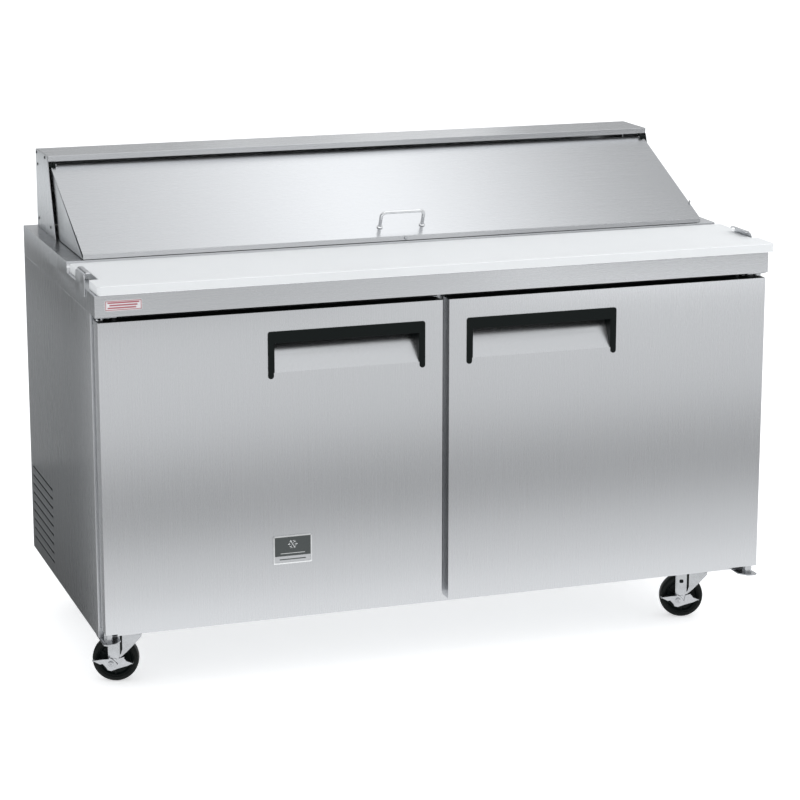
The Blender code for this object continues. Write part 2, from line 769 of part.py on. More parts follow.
def door_inner(side, name, looks):
    """Foam and inner sheet: a block that fills the skin, with a raised panel inside the gasket."""
    clear = DOOR_SHEET + GAP
    low = (side * (DOOR_INNER + clear), DOOR_FRONT + clear, DOOR_BOTTOM + clear)
    block = add_box(new(), low, (side * (DOOR_OUTER - clear), -0.3376, DOOR_TOP - clear))
    block = make_object(name, block, looks)
    join(block, add_box(new(), (side * 0.045, -0.345, 0.187), (side * 0.725, -0.333, 0.787)))
    cut(block, add_pull(new(), side, clear, DOOR_FRONT - 0.02))
    return cut(block, add_pin_holes(new(), side))


def door_gasket(side, name, looks):
    back, front = CABINET_FRONT - GAP, -0.3376 + GAP
    ring = make_object(name, add_box(new(), (side * 0.020, front, 0.162), (side * 0.748, back, 0.810)), looks)
    return cut(ring, add_box(new(), (side * 0.036, front - 0.02, 0.178), (side * 0.732, back + 0.02, 0.794)))


def pull_trim(side, name, looks):
    """The dark U round the scoop, with a lip under its bar for the fingertips."""
    front = DOOR_FRONT - 0.0018
    back = DOOR_FRONT - GAP
    inner_low, inner_high = PULL_INNER + PULL_LEG, PULL_OUTER - PULL_LEG
    outline = (
        (PULL_INNER, PULL_BOTTOM),
        (inner_low, PULL_BOTTOM),
        (inner_low, PULL_TOP - PULL_BAR),
        (inner_high, PULL_TOP - PULL_BAR),
        (inner_high, PULL_BOTTOM),
        (PULL_OUTER, PULL_BOTTOM),
        (PULL_OUTER, PULL_TOP),
        (PULL_INNER, PULL_TOP),
    )
    trim = make_object(name, add_prism(new(), mirrored(side, outline), "Y", front, back), looks)
    lip_low = (side * (inner_low + 0.002), front + 0.0002, PULL_TOP - PULL_BAR + 0.0005)
    return join(trim, add_box(new(), lip_low, (side * (inner_high - 0.002), -0.362, 0.7610)))


def door_badge(looks):
    front = DOOR_FRONT - GAP
    return make_object(
        "door_badge", add_box(new(), (-0.3915, front - 0.0022, 0.2685), (-0.3050, front, 0.3315)), looks
    )


def make_door(side, word, looks):
    skin = door_skin(side, f"door_{word}_skin", looks["steel"])
    inner = door_inner(side, f"door_{word}_inner", looks["white"])
    gasket = door_gasket(side, f"door_{word}_gasket", looks["rubber"])
    trim = pull_trim(side, f"door_{word}_pull_trim", looks["black"])
    hinge = joint_empty(f"door_{word}_hinge", (side * HINGE_X, HINGE_Y, DOOR_BOTTOM))
    hang(hinge, skin, inner, gasket, trim)
    return hinge


# ---------------------------------------------------------------- casters


def caster_plate(name, x, y, looks):
    """The fixed half of a caster: its bolt plate and the swivel's upper race."""
    top = CABINET_BOTTOM - GAP
    low, high = (x - 0.0475, y - 0.0325, top - 0.0032), (x + 0.0475, y + 0.0325, top)
    plate = make_object(name, add_box(new(), low, high), looks)
    return join(plate, add_rod(new(), (x, y, 0.1173), (x, y, top - 0.002), 0.027, 24))


def fork_mesh(looks):
    """The swivelling half: lower race, bridge, two legs, and the axle bolt. Its swivel is on Z."""
    fork = add_rod(new(), (0.0, 0.0, 0.1125), (0.0, 0.0, 0.1170), 0.029, 24)
    fork = make_object("fork_pattern", fork, looks)
    wheel_x = -TRAIL
    join(fork, add_box(new(), (-0.0525, -0.0215, 0.1085), (0.0215, 0.0215, 0.1130)))
    leg = (
        (wheel_x - 0.0150, 0.1120),
        (0.0215, 0.1120),
        (0.0215, 0.1060),
        (wheel_x + 0.0180, 0.0560),
        (wheel_x + 0.0150, 0.0400),
        (wheel_x - 0.0060, 0.0360),
        (wheel_x - 0.0150, 0.0420),
    )
    sides = new()
    add_prism(sides, leg, "Y", -0.0215, -0.0190)
    add_prism(sides, leg, "Y", 0.0190, 0.0215)
    join(fork, sides)
    axle = add_rod(new(), (wheel_x, -0.0300, AXLE_HEIGHT), (wheel_x, 0.0250, AXLE_HEIGHT), 0.0045, 12)
    join(fork, axle)
    ends = add_rod(new(), (wheel_x, -0.0325, AXLE_HEIGHT), (wheel_x, -0.0268, AXLE_HEIGHT), 0.0085, 6)
    add_rod(ends, (wheel_x, 0.0210, AXLE_HEIGHT), (wheel_x, 0.0265, AXLE_HEIGHT), 0.0085, 6)
    return join(fork, ends).data


def wheel_mesh(looks):
    half = ((0.0049, 0.0180), (0.0150, 0.0180), (0.0360, 0.0120), (0.0400, 0.0155), (WHEEL_RADIUS, 0.0110))
    profile = list(half) + [(radius, -height) for radius, height in reversed(half)]
    bm = add_turned(new(), profile, (0.0, 0.0, 0.0), (0, 1, 0), WHEEL_SIDES)
    return make_object("wheel_pattern", bm, looks).data


def brake_mesh(looks):
    """A stamped pedal with two wings that rocks on the axle bolt. The axle is on its Y axis."""
    outline = (
        (-0.050, 0.0005),
        (-0.030, -0.0080),
        (-0.020, -0.0140),
        (-0.014, -0.0240),
        (0.006, -0.0200),
        (0.038, -0.0060),
        (0.041, -0.0005),
        (0.020, 0.0060),
        (-0.020, 0.0080),
        (-0.030, 0.0040),
    )
    pedal = make_object("brake_pattern", add_prism(new(), outline, "Y", -0.0252, -0.0224), looks)
    wings = add_box(new(), (-0.046, -0.0390, -0.0010), (-0.014, -0.0230, 0.0018))
    add_box(wings, (0.014, -0.0360, -0.0020), (0.036, -0.0230, 0.0008))
    join(pedal, wings)
    return cut(pedal, add_rod(new(), (0.0, -0.04, 0.0), (0.0, 0.0, 0.0), 0.0052, 12)).data


def place_copy(name, mesh, empty, location=(0.0, 0.0, 0.0)):
    obj = bpy.data.objects.new(name, mesh)
    obj.parent = empty
    obj.location = location
    bpy.context.collection.objects.link(obj)
    return obj


def make_casters(looks):
    fork = fork_mesh(looks["zinc"])
    wheel = wheel_mesh(looks["tyre"])
    brake = brake_mesh(looks["zinc"])
    for pattern in ("fork_pattern", "wheel_pattern", "brake_pattern"):
        bpy.data.objects.remove(bpy.data.objects[pattern], do_unlink=True)
    places = (
        ("front_left", -SWIVEL_X, SWIVEL_FRONT_Y, FRONT_YAW),
        ("front_right", SWIVEL_X, SWIVEL_FRONT_Y, FRONT_YAW),
        ("rear_left", -SWIVEL_X, SWIVEL_REAR_Y, REAR_YAW),
        ("rear_right", SWIVEL_X, SWIVEL_REAR_Y, REAR_YAW),
    )
    for word, x, y, yaw in places:
        caster_plate(f"caster_plate_{word}", x, y, looks["zinc"])
        swivel = joint_empty(f"caster_swivel_{word}", (x, y, 0.0), yaw)
        place_copy(f"caster_fork_{word}", fork, swivel)
        place_copy(f"caster_wheel_{word}", wheel, swivel, (-TRAIL, 0.0, AXLE_HEIGHT))
        if word.startswith("front"):
            place_copy(f"caster_brake_{word}", brake, swivel, (-TRAIL, 0.0, AXLE_HEIGHT))


# ---------------------------------------------------------------- the whole table


def make_looks():
    return {
        "steel": make_material("stainless_steel", (0.60, 0.61, 0.62), 0.30, 1.0),
        "dull_steel": make_material("galvanised_steel", (0.42, 0.44, 0.45), 0.45, 1.0),
        "zinc": make_material("bright_zinc", (0.72, 0.73, 0.75), 0.25, 1.0),
        "foam": make_material("insulating_foam", (0.80, 0.72, 0.50), 0.90, 0.0),
        "white": make_material("white_sheet", (0.78, 0.79, 0.80), 0.40, 0.0),
        "board": make_material("board_plastic", (0.88, 0.89, 0.90), 0.50, 0.0),
        "black": make_material("black_plastic", (0.015, 0.017, 0.018), 0.40, 0.0),
        "rubber": make_material("gasket_rubber", (0.10, 0.10, 0.11), 0.70, 0.0),
        "tyre": make_material("black_tyre", (0.012, 0.014, 0.015), 0.60, 0.0),
        "enamel": make_material("black_enamel", (0.03, 0.03, 0.03), 0.35, 0.0),
    }


def make_cabinet(looks):
    cut_louvres(side_panel(-1, "side_panel_left", looks["steel"]))
    side_panel(1, "side_panel_right", looks["steel"])
    back_panel(looks["dull_steel"])
    base_pan(looks["dull_steel"])
    insulation(looks["foam"])
    interior_liner(looks["white"])
    front_frame(looks["steel"])
    countertop(looks["steel"])
    for side, word in ((-1, "left"), (1, "right")):
        board_bracket(side, f"board_bracket_{word}", looks["steel"])
        hood_end(side, f"hood_end_{word}", looks["steel"])
        wire_shelf(side, f"shelf_{word}", looks["zinc"])
        hinge_bracket_bottom(side, f"hinge_bracket_bottom_{word}", looks["zinc"])
        hinge_bracket_top(side, f"hinge_bracket_top_{word}", looks["zinc"])
    hood_cover(looks["steel"])
    pan_rail(looks["steel"])
    for number, (low, high) in enumerate(pan_spans(), 1):
        food_pan(f"food_pan_{number}", low, high, looks["steel"])


def make_machinery(looks):
    evaporator_housing(looks["white"])
    fan = evaporator_fan(looks["black"])
    hang(joint_empty("evaporator_fan_axle", (0.0, 0.262, 0.545)), fan)
    knob = thermostat_knob(looks["black"])
    hang(joint_empty("thermostat_spindle", (0.200, 0.228, 0.600)), knob)
    compressor(looks["enamel"])
    condenser(looks["dull_steel"])
    fan = condenser_fan(looks["dull_steel"])
    hang(joint_empty("condenser_fan_axle", (-0.615, 0.246, 0.240)), fan)
    power_inlet(looks["black"])


def make_moving_tops(looks):
    lid = lid_panel(looks["steel"])
    liner = lid_liner(looks["white"])
    handle = lid_handle(looks["zinc"])
    hang(joint_empty("lid_pivot", LID_PIVOT), lid, liner, handle)
    board = cutting_board(looks["board"])
    hang(joint_empty("board_lift", (0.0, -0.2475, BOARD_SEAT)), board)


def main():
    clear_scene()
    looks = make_looks()
    make_cabinet(looks)
    make_machinery(looks)
    make_moving_tops(looks)
    make_door(-1, "left", looks)
    make_door(1, "right", looks)
    hang(bpy.data.objects["door_left_hinge"], door_badge(looks["dull_steel"]))
    make_casters(looks)
    for obj in bpy.data.objects:
        if obj.type == "MESH":
            smooth(obj)


main()
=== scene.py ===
import json
import math

import bmesh
import bpy
from mathutils import Matrix, Vector


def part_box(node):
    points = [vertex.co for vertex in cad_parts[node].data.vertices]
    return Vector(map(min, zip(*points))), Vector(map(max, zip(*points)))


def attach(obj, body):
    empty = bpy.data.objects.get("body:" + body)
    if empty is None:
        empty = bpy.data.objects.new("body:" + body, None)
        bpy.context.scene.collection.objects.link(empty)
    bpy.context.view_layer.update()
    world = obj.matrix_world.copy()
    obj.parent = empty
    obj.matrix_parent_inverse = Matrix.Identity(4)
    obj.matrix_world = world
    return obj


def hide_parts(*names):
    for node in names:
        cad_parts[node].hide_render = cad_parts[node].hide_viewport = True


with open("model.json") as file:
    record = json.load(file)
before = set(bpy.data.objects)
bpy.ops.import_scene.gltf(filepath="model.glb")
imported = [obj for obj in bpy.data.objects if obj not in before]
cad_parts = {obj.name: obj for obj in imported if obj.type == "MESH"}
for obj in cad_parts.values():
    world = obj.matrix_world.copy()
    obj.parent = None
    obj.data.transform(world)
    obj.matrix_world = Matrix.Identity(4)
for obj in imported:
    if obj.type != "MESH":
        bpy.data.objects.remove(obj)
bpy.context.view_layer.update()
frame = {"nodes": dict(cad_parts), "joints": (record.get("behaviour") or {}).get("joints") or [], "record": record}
NODES = frame["nodes"]
BODY_OF = {node: body for body, names in frame["record"]["behaviour"]["bodies"].items() for node in names}
SLOT_OF = {part["node"]: part["material_slot"] for part in frame["record"]["subparts"]}
JOINTS = {joint["name"]: joint for joint in frame["joints"]}

SIDES = ((-1, "left"), (1, "right"))
CASTERS = ("front_left", "front_right", "rear_left", "rear_right")
PANS = tuple(f"food_pan_{number}" for number in range(1, 7))
SMOOTHED = []

bpy.context.scene.view_settings.view_transform = "Standard"


# ---------------------------------------------------------------- materials


class Look:
    """A material's node tree, with short ways to add what the surfaces here need."""

    def __init__(self, name, color, roughness, metallic=0.0, **sockets):
        self.material = bpy.data.materials.new(name)
        self.material.use_nodes = True
        self.tree = self.material.node_tree
        self.shader = self.tree.nodes["Principled BSDF"]
        self.color = color
        self.roughness = roughness
        self.set("Base Color", (*color, 1.0))
        self.set("Roughness", roughness)
        self.set("Metallic", metallic)
        for socket, value in sockets.items():
            self.set(socket.replace("_", " "), value)

    def set(self, socket, value):
        self.shader.inputs[socket].default_value = value

    def add(self, kind, **values):
        node = self.tree.nodes.new(kind)
        for key, value in values.items():
            setattr(node, key, value)
        return node

    def link(self, source, target):
        self.tree.links.new(source, target)

    def coordinates(self, scale):
        """The object's own coordinates, times one number or times one for each axis."""
        place = self.add("ShaderNodeTexCoord")
        mapping = self.add("ShaderNodeMapping")
        mapping.inputs["Scale"].default_value = (scale,) * 3 if isinstance(scale, float) else scale
        self.link(place.outputs["Object"], mapping.inputs["Vector"])
        return mapping.outputs["Vector"]

    def noise(self, scale, detail=3.0, roughness=0.55):
        node = self.add("ShaderNodeTexNoise")
        node.inputs["Scale"].default_value = 1.0
        node.inputs["Detail"].default_value = detail
        node.inputs["Roughness"].default_value = roughness
        self.link(self.coordinates(scale), node.inputs["Vector"])
        return node.outputs["Fac"]

    def cells(self, scale):
        node = self.add("ShaderNodeTexVoronoi")
        node.inputs["Scale"].default_value = 1.0
        self.link(self.coordinates(scale), node.inputs["Vector"])
        return node.outputs["Color"]

    def spread(self, source, low, high, start=0.3, end=0.7):
        """Stretches the part of a texture between start and end over low to high."""
        node = self.add("ShaderNodeMapRange")
        for socket, value in (("From Min", start), ("From Max", end), ("To Min", low), ("To Max", high)):
            node.inputs[socket].default_value = value
        self.link(source, node.inputs["Value"])
        return node.outputs["Result"]

    def sum(self, first, second):
        node = self.add("ShaderNodeMath", operation="ADD")
        self.link(first, node.inputs[0])
        self.link(second, node.inputs[1])
        return node.outputs[0]

    def tint(self, fac, low, high, start=0.3, end=0.7):
        """The base colour runs from low times to high times the plain colour with the texture."""
        ramp = self.add("ShaderNodeValToRGB")
        for element, position, times in zip(ramp.color_ramp.elements, (start, end), (low, high)):
            element.position = position
            element.color = (*(min(1.0, channel * times) for channel in self.color), 1.0)
        self.link(fac, ramp.inputs["Fac"])
        self.link(ramp.outputs["Color"], self.shader.inputs["Base Color"])
        return self

    def rough(self, source):
        self.link(source, self.shader.inputs["Roughness"])
        return self

    def bump(self, height, depth, strength=1.0):
        node = self.add("ShaderNodeBump")
        node.inputs["Distance"].default_value = depth
        node.inputs["Strength"].default_value = strength
        self.link(height, node.inputs["Height"])
        self.link(node.outputs["Normal"], self.shader.inputs["Normal"])
        return self


def brushed(name, color, roughness, grain, blur_axis, anisotropy=0.55, metal=1.0):
    """Sheet steel with fine scratches along the grain axis and faint wiping marks over them."""
    look = Look(name, color, roughness, metal, Anisotropic=anisotropy)
    across, along = 1500.0, 7.0
    scale = [across] * 3
    scale["XYZ".index(grain)] = along
    scratches = look.noise(scale, 4.0, 0.65)
    wiping = look.noise((2.2, 2.2, 1.6), 3.0, 0.5)
    look.tint(scratches, 0.975, 1.02)
    fine = look.spread(scratches, roughness - 0.02, roughness + 0.02)
    look.rough(look.sum(fine, look.spread(wiping, -0.012, 0.018)))
    look.bump(scratches, 0.00001, 0.25)
    tangent = look.add("ShaderNodeTangent", direction_type="RADIAL", axis=blur_axis)
    look.link(tangent.outputs["Tangent"], look.shader.inputs["Tangent"])
    return look.material


def plated(name, color, roughness, mottle=60.0):
    """Zinc or chrome plate: bright, with soft mottling and a few dull spots."""
    look = Look(name, color, roughness, 1.0)
    cloud = look.noise(mottle, 4.0, 0.6)
    look.tint(cloud, 0.92, 1.05)
    look.rough(look.spread(cloud, roughness + 0.05, roughness - 0.03))
    look.bump(look.noise(900.0, 2.0), 0.00002, 0.4)
    return look.material


def galvanised(name, color, roughness):
    """Zinc spangle: flat crystals that each catch the light a little differently."""
    look = Look(name, color, roughness, 1.0)
    spangle = look.cells(90.0)
    look.tint(spangle, 0.90, 1.07, 0.1, 0.9)
    look.rough(look.spread(spangle, roughness - 0.06, roughness + 0.08, 0.1, 0.9))
    return look.material


def moulded(name, color, roughness, grain=1400.0, depth=0.00005, variation=0.06, shine=0.5):
    """Plastic or rubber with a fine moulded grain and slight patchiness."""
    look = Look(name, color, roughness)
    look.set("Specular IOR Level", shine)
    patches = look.noise(7.0, 3.0)
    look.tint(patches, 1.0 - variation, 1.0 + variation)
    look.rough(look.spread(patches, roughness - 0.05, roughness + 0.06))
    look.bump(look.noise(grain, 2.0), depth, 0.6)
    return look.material


def board_plastic(name, color):
    """White cutting-board plastic: a matt grain with faint, short knife marks."""
    look = Look(name, color, 0.42)
    look.set("Subsurface Weight", 0.08)
    look.set("Subsurface Radius", (0.006, 0.006, 0.006))
    marks = look.noise((14.0, 160.0, 160.0), 4.0, 0.7)
    patches = look.noise(4.0, 3.0)
    look.tint(patches, 0.985, 1.01)
    look.rough(look.spread(marks, 0.36, 0.50))
    cuts = look.spread(marks, 0.0, 0.3, 0.58, 0.66)
    look.bump(look.sum(cuts, look.noise(1500.0)), 0.00005, 0.5)
    return look.material


def tyre_rubber():
    """Black rubber with a little dust in its grain."""
    look = Look("tyre_rubber", (0.0050, 0.0068, 0.0062), 0.50)
    look.set("Specular IOR Level", 0.14)
    dust = look.noise(120.0, 4.0, 0.7)
    look.tint(dust, 0.8, 2.2, 0.45, 0.8)
    look.rough(look.spread(dust, 0.34, 0.6))
    look.bump(look.noise(1100.0, 2.0), 0.00006, 0.6)
    return look.material


STEEL = (0.612, 0.622, 0.640)
LOOKS = {
    "upright": brushed("steel_upright_grain", STEEL, 0.27, "Z", "Z"),
    "level": brushed("steel_level_grain", STEEL, 0.27, "X", "X"),
    "pan": brushed("steel_pan", (0.70, 0.71, 0.72), 0.26, "X", "Z", 0.2, 0.7),
    "zinc": plated("zinc_plate", (0.47, 0.48, 0.495), 0.24),
    "chrome": plated("chrome_plate", (0.78, 0.79, 0.80), 0.10),
    "galvanised": galvanised("galvanised_steel", (0.46, 0.475, 0.49), 0.42),
    "aluminium": plated("aluminium_fin", (0.62, 0.63, 0.64), 0.34),
    "copper": plated("copper_pipe", (0.72, 0.36, 0.22), 0.28),
    "black": moulded("black_plastic", (0.0030, 0.0056, 0.0054), 0.42, shine=0.12),
    # Near-black, rough sheet behind the louvre slots: painted shade.
    "filter": moulded("slot_shade_sheet", (0.012, 0.014, 0.015), 0.9, 500.0, 0.0004, 0.2),
    "enamel": moulded("black_enamel", (0.02, 0.02, 0.021), 0.28, 300.0, 0.0001),
    "gasket": moulded("gasket_rubber", (0.020, 0.022, 0.023), 0.60),
    "nylon": moulded("grey_nylon", (0.55, 0.56, 0.57), 0.45),
    "white": moulded("white_lining", (0.80, 0.815, 0.82), 0.32, 500.0, 0.00006, 0.02),
    "foam": moulded("insulating_foam", (0.74, 0.63, 0.40), 0.85, 260.0, 0.0006, 0.12),
    "board": board_plastic("board_plastic", (0.87, 0.885, 0.895)),
    # The board's plastic made darker for its upright edges: painted shade on the faces that get less light.
    "board_edge_shade": board_plastic("board_edge_painted_shade", (0.71, 0.725, 0.735)),
    "tyre": tyre_rubber(),
    "label_white": moulded("label_white", (0.66, 0.66, 0.67), 0.45),
    "label_red": moulded("label_red", (0.40, 0.115, 0.14), 0.45),
    "badge_dark": moulded("badge_field", (0.050, 0.058, 0.058), 0.30),
}


# ---------------------------------------------------------------- shape tools


def new():
    return bmesh.new()


def spokes(count, first=0.0):
    """Angles spread evenly round a full turn; first is the share of a step that the first one starts at."""
    return [2 * math.pi * (step + first) / count for step in range(count)]


def outward(angle):
    """A direction in the upright plane that faces the front."""
    return Vector((math.cos(angle), 0.0, math.sin(angle)))


def arc(centre, radius, first, turn, steps):
    """Points along an arc that starts at the angle first and goes on by turn, both in degrees."""
    points = []
    for step in range(steps + 1):
        angle = math.radians(first + turn * step / steps)
        points.append((centre[0] + radius * math.cos(angle), centre[1] + radius * math.sin(angle)))
    return points


def round_edges(bm, edges, width, segments):
    """Bevels the given edges into rounded ones."""
    bmesh.ops.bevel(
        bm, geom=edges, offset=width, segments=segments, profile=0.5, affect="EDGES", clamp_overlap=True
    )


def join_rings(bm, rings, closed=False):
    """Bands of faces between neighbouring rings of points, and from the last to the first if closed."""
    pairs = list(zip(rings, rings[1:]))
    if closed:
        pairs.append((rings[-1], rings[0]))
    for near, far in pairs:
        for step in range(len(near)):
            after = (step + 1) % len(near)
            bm.faces.new((near[step], near[after], far[after], far[step]))


def join_rows(bm, rows):
    """A sheet of faces between neighbouring open rows of points."""
    faces = []
    for near, far in zip(rows, rows[1:]):
        for cell in range(len(near) - 1):
            faces.append(bm.faces.new((near[cell], near[cell + 1], far[cell + 1], far[cell])))
    return faces


def add_box(bm, low, high, round_by=0.0, segments=2):
    """A cuboid with its edges rounded by round_by."""
    low, high = Vector(low), Vector(high)
    size = Vector(abs(a - b) for a, b in zip(low, high))
    matrix = Matrix.Translation((low + high) / 2) @ Matrix.Diagonal((*size, 1.0))
    made = bmesh.ops.create_cube(bm, size=1.0, matrix=matrix)
    if round_by:
        edges = {edge for vert in made["verts"] for edge in vert.link_edges}
        round_edges(bm, list(edges), round_by, segments)
    return bm


def add_prism(bm, outline, axis, start, end):
    """A flat outline extruded along X, Y or Z. The outline's pairs are the two other axes in order."""
    index = "XYZ".index(axis)
    corners = []
    for a, b in outline:
        point = [a, b]
        point.insert(index, start)
        corners.append(bm.verts.new(point))
    face = bm.faces.new(corners)
    step = [0.0, 0.0, 0.0]
    step[index] = end - start
    swept = bmesh.ops.extrude_face_region(bm, geom=[face])
    moved = [item for item in swept["geom"] if isinstance(item, bmesh.types.BMVert)]
    bmesh.ops.translate(bm, verts=moved, vec=step)
    return bm


def frame_along(axis):
    """The rotation that turns +Z onto an axis."""
    return Vector(axis).to_track_quat("Z", "Y").to_matrix().to_4x4()


def add_rod(bm, start, end, radius, sides=20):
    start, end = Vector(start), Vector(end)
    matrix = Matrix.Translation((start + end) / 2) @ frame_along(end - start)
    depth = (end - start).length
    bmesh.ops.create_cone(
        bm, cap_ends=True, segments=sides, radius1=radius, radius2=radius, depth=depth, matrix=matrix
    )
    return bm


def add_turned(bm, profile, centre, axis, sides=32, closed=False, materials=None):
    """(radius, height) pairs turned round an axis; a radius of 0 closes an end. materials go by band."""
    place = Matrix.Translation(centre) @ frame_along(axis)
    rings = []
    for radius, height in profile:
        if radius == 0.0:
            rings.append([bm.verts.new(place @ Vector((0.0, 0.0, height)))] * sides)
            continue
        ring = [(radius * math.cos(angle), radius * math.sin(angle), height) for angle in spokes(sides, 0.5)]
        rings.append([bm.verts.new(place @ Vector(point)) for point in ring])
    pairs = list(zip(rings, rings[1:]))
    if closed:
        pairs.append((rings[-1], rings[0]))
    for band, (near, far) in enumerate(pairs):
        for step in range(sides):
            after = (step + 1) % sides
            corners = []
            for vert in (near[step], near[after], far[after], far[step]):
                if vert not in corners:
                    corners.append(vert)
            if len(corners) > 2:
                face = bm.faces.new(corners)
                if materials:
                    face.material_index = materials[band]
    return bm


def add_tube(bm, points, radius, sides=12, closed=False):
    """A round tube through points, with flat ends unless it is closed."""
    points = [Vector(p) for p in points]
    count = len(points)
    rings = []
    side = None
    for index, point in enumerate(points):
        if closed:
            along = points[(index + 1) % count] - points[index - 1]
        else:
            along = points[min(index + 1, count - 1)] - points[max(index - 1, 0)]
        along.normalize()
        if side is None:
            side = along.orthogonal().normalized()
        side = (side - along * side.dot(along)).normalized()
        other = along.cross(side)
        spread = [side * math.cos(angle) + other * math.sin(angle) for angle in spokes(sides)]
        rings.append([bm.verts.new(point + out * radius) for out in spread])
    join_rings(bm, rings, closed)
    if not closed:
        bm.faces.new(rings[0])
        bm.faces.new(rings[-1])
    return bm


def add_dome(bm, centre, axis, radius, height, sides=20):
    """A rivet or screw head with a small dimple in its top."""
    profile = (
        (radius * 0.98, -0.0002),
        (radius, height * 0.25),
        (radius * 0.86, height * 0.7),
        (radius * 0.55, height * 0.96),
        (radius * 0.34, height),
        (radius * 0.26, height * 0.6),
        (0.0, height * 0.55),
    )
    return add_turned(bm, profile, centre, axis, sides)


def add_hex(bm, centre, axis, radius, height):
    """A hexagon head with a turned chamfer and a washer under it."""
    add_turned(bm, ((radius * 1.35, 0.0), (radius * 1.35, 0.0009), (radius * 0.9, 0.0010)), centre, axis, 28)
    profile = ((radius, 0.0005), (radius, height * 0.82), (radius * 0.86, height), (0.0, height))
    return add_turned(bm, profile, centre, axis, 6)


def rounded(low, high, radius, steps=6):
    """Corner points of a rectangle with round corners, anticlockwise."""
    points = []
    corners = ((low[0], low[1], 180), (high[0], low[1], 270), (high[0], high[1], 0), (low[0], high[1], 90))
    for x, y, first in corners:
        inward_x = radius if x == low[0] else -radius
        inward_y = radius if y == low[1] else -radius
        points += arc((x + inward_x, y + inward_y), radius, first, 90, steps)
    return points


def piece(name, bm, look, body, slot, stands_for=(), smooth=38.0, weld=True):
    """Makes a shape a visible piece that rides on a body. look is a name, or one per material index."""
    if weld:
        bmesh.ops.remove_doubles(bm, verts=bm.verts, dist=1e-6)
    bmesh.ops.recalc_face_normals(bm, faces=bm.faces)
    mesh = bpy.data.meshes.new(name)
    bm.to_mesh(mesh)
    bm.free()
    for key in (look,) if isinstance(look, str) else look:
        mesh.materials.append(LOOKS[key])
    obj = bpy.data.objects.new(name, mesh)
    bpy.context.collection.objects.link(obj)
    mesh.shade_smooth()
    mesh.set_sharp_from_angle(angle=math.radians(smooth))
    flatten = obj.modifiers.new("area_normals", "WEIGHTED_NORMAL")
    flatten.keep_sharp = True
    SMOOTHED.append(obj)
    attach(obj, body)
    if stands_for:
        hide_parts(*stands_for)
    return obj


def settle_normals():
    """Stores normals weighted by area, so broad faces stay flat right up to their rounded edges."""
    depsgraph = bpy.context.evaluated_depsgraph_get()
    settled = [bpy.data.meshes.new_from_object(obj.evaluated_get(depsgraph)) for obj in SMOOTHED]
    for obj, mesh in zip(SMOOTHED, settled):
        obj.modifiers.clear()
        obj.data = mesh


def welded(node):
    """The CAD node's mesh as whole flat faces."""
    bm = new()
    bm.from_mesh(NODES[node].data)
    bmesh.ops.remove_doubles(bm, verts=bm.verts, dist=2e-6)
    bmesh.ops.dissolve_limit(
        bm, angle_limit=math.radians(0.6), use_dissolve_boundaries=False, verts=bm.verts, edges=bm.edges
    )
    return bm


def refine(node, look, width, segments=2, angle=28.0, reshape=None):
    """Replaces a CAD node with a copy whose outer edges are rounded by width."""
    bm = welded(node)
    if reshape:
        reshape(bm)
    edges = []
    for edge in bm.edges:
        if len(edge.link_faces) != 2:
            continue
        turn = math.degrees(edge.calc_face_angle(0.0))
        if turn > angle and edge.is_convex:
            edges.append(edge)
    round_edges(bm, edges, width, segments)
    return piece("look_" + node, bm, look, BODY_OF[node], SLOT_OF[node], (node,), weld=False)


# ---------------------------------------------------------------- cabinet and top


def plain_nodes():
    """CAD nodes whose shape is already right keep it and get a better material."""
    keep = {
        "insulation": "foam",
        "interior_liner": "white",
        "base_pan": "galvanised",
        "front_frame": "upright",
    }
    for node, look in keep.items():
        mesh = NODES[node].data
        mesh.materials.clear()
        mesh.materials.append(LOOKS[look])


def cabinet_sheets():
    """The folded sheets, and the cutting board with its upright edges darkened as painted shade."""
    for _, word in SIDES:
        refine("side_panel_" + word, "upright", 0.0006)
    refine("back_panel", "galvanised", 0.0004)
    refine("countertop", "level", 0.0007, 3)
    refine("hood_cover", "level", 0.0007, 3)
    refine("pan_rail", "pan", 0.0006)
    board = refine("cutting_board", ("board", "board_edge_shade"), 0.0022, 4)
    # Faces that stand upright take the darker board colour: painted shade.
    for face in board.data.polygons:
        face.material_index = int(abs(face.normal.z) < 0.5)
    for _, word in SIDES:
        refine("hood_end_" + word, "upright", 0.0004)
        refine("board_bracket_" + word, "level", 0.0006)


def louvres():
    """Pressed lips over the slots in the left side, with a near-black sheet behind the slots as painted shade
    inside them.
    """
    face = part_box("side_panel_left")[0].x
    lip, height, sheet = 0.0014, 0.0042, 0.0005
    front, back, columns, lines = 0.127, 0.363, 36, 6
    rows, first, pitch = 9, 0.338, 0.0215
    bm = new()
    for row in range(rows):
        slot_top = first - row * pitch
        grid = []
        for column in range(columns + 1):
            u = column / columns
            swell = math.sin(math.pi / 2 * min(1.0, u * 12, (1 - u) * 12))
            ring = []
            for line in range(lines + 1):
                v = line / lines
                out = lip * swell * math.sin(math.pi / 2 * v)
                place = (face - 0.0001 - out, front + (back - front) * u, slot_top + height * (0.9 - v))
                ring.append(bm.verts.new(place))
            grid.append(ring)
        join_rows(bm, grid)
    bmesh.ops.recalc_face_normals(bm, faces=bm.faces)
    bmesh.ops.solidify(bm, geom=bm.faces[:], thickness=sheet)
    piece("side_louvres", bm, "upright", "cabinet", "stainless", smooth=50)
    # A near-black sheet just inside the panel: painted shade seen through the louvre slots.
    mat = add_box(new(), (face + 0.0017, 0.126, 0.152), (face + 0.0030, 0.364, 0.345), 0.0003)
    piece("vent_slot_shade", mat, "filter", "cabinet", "black_plastic")


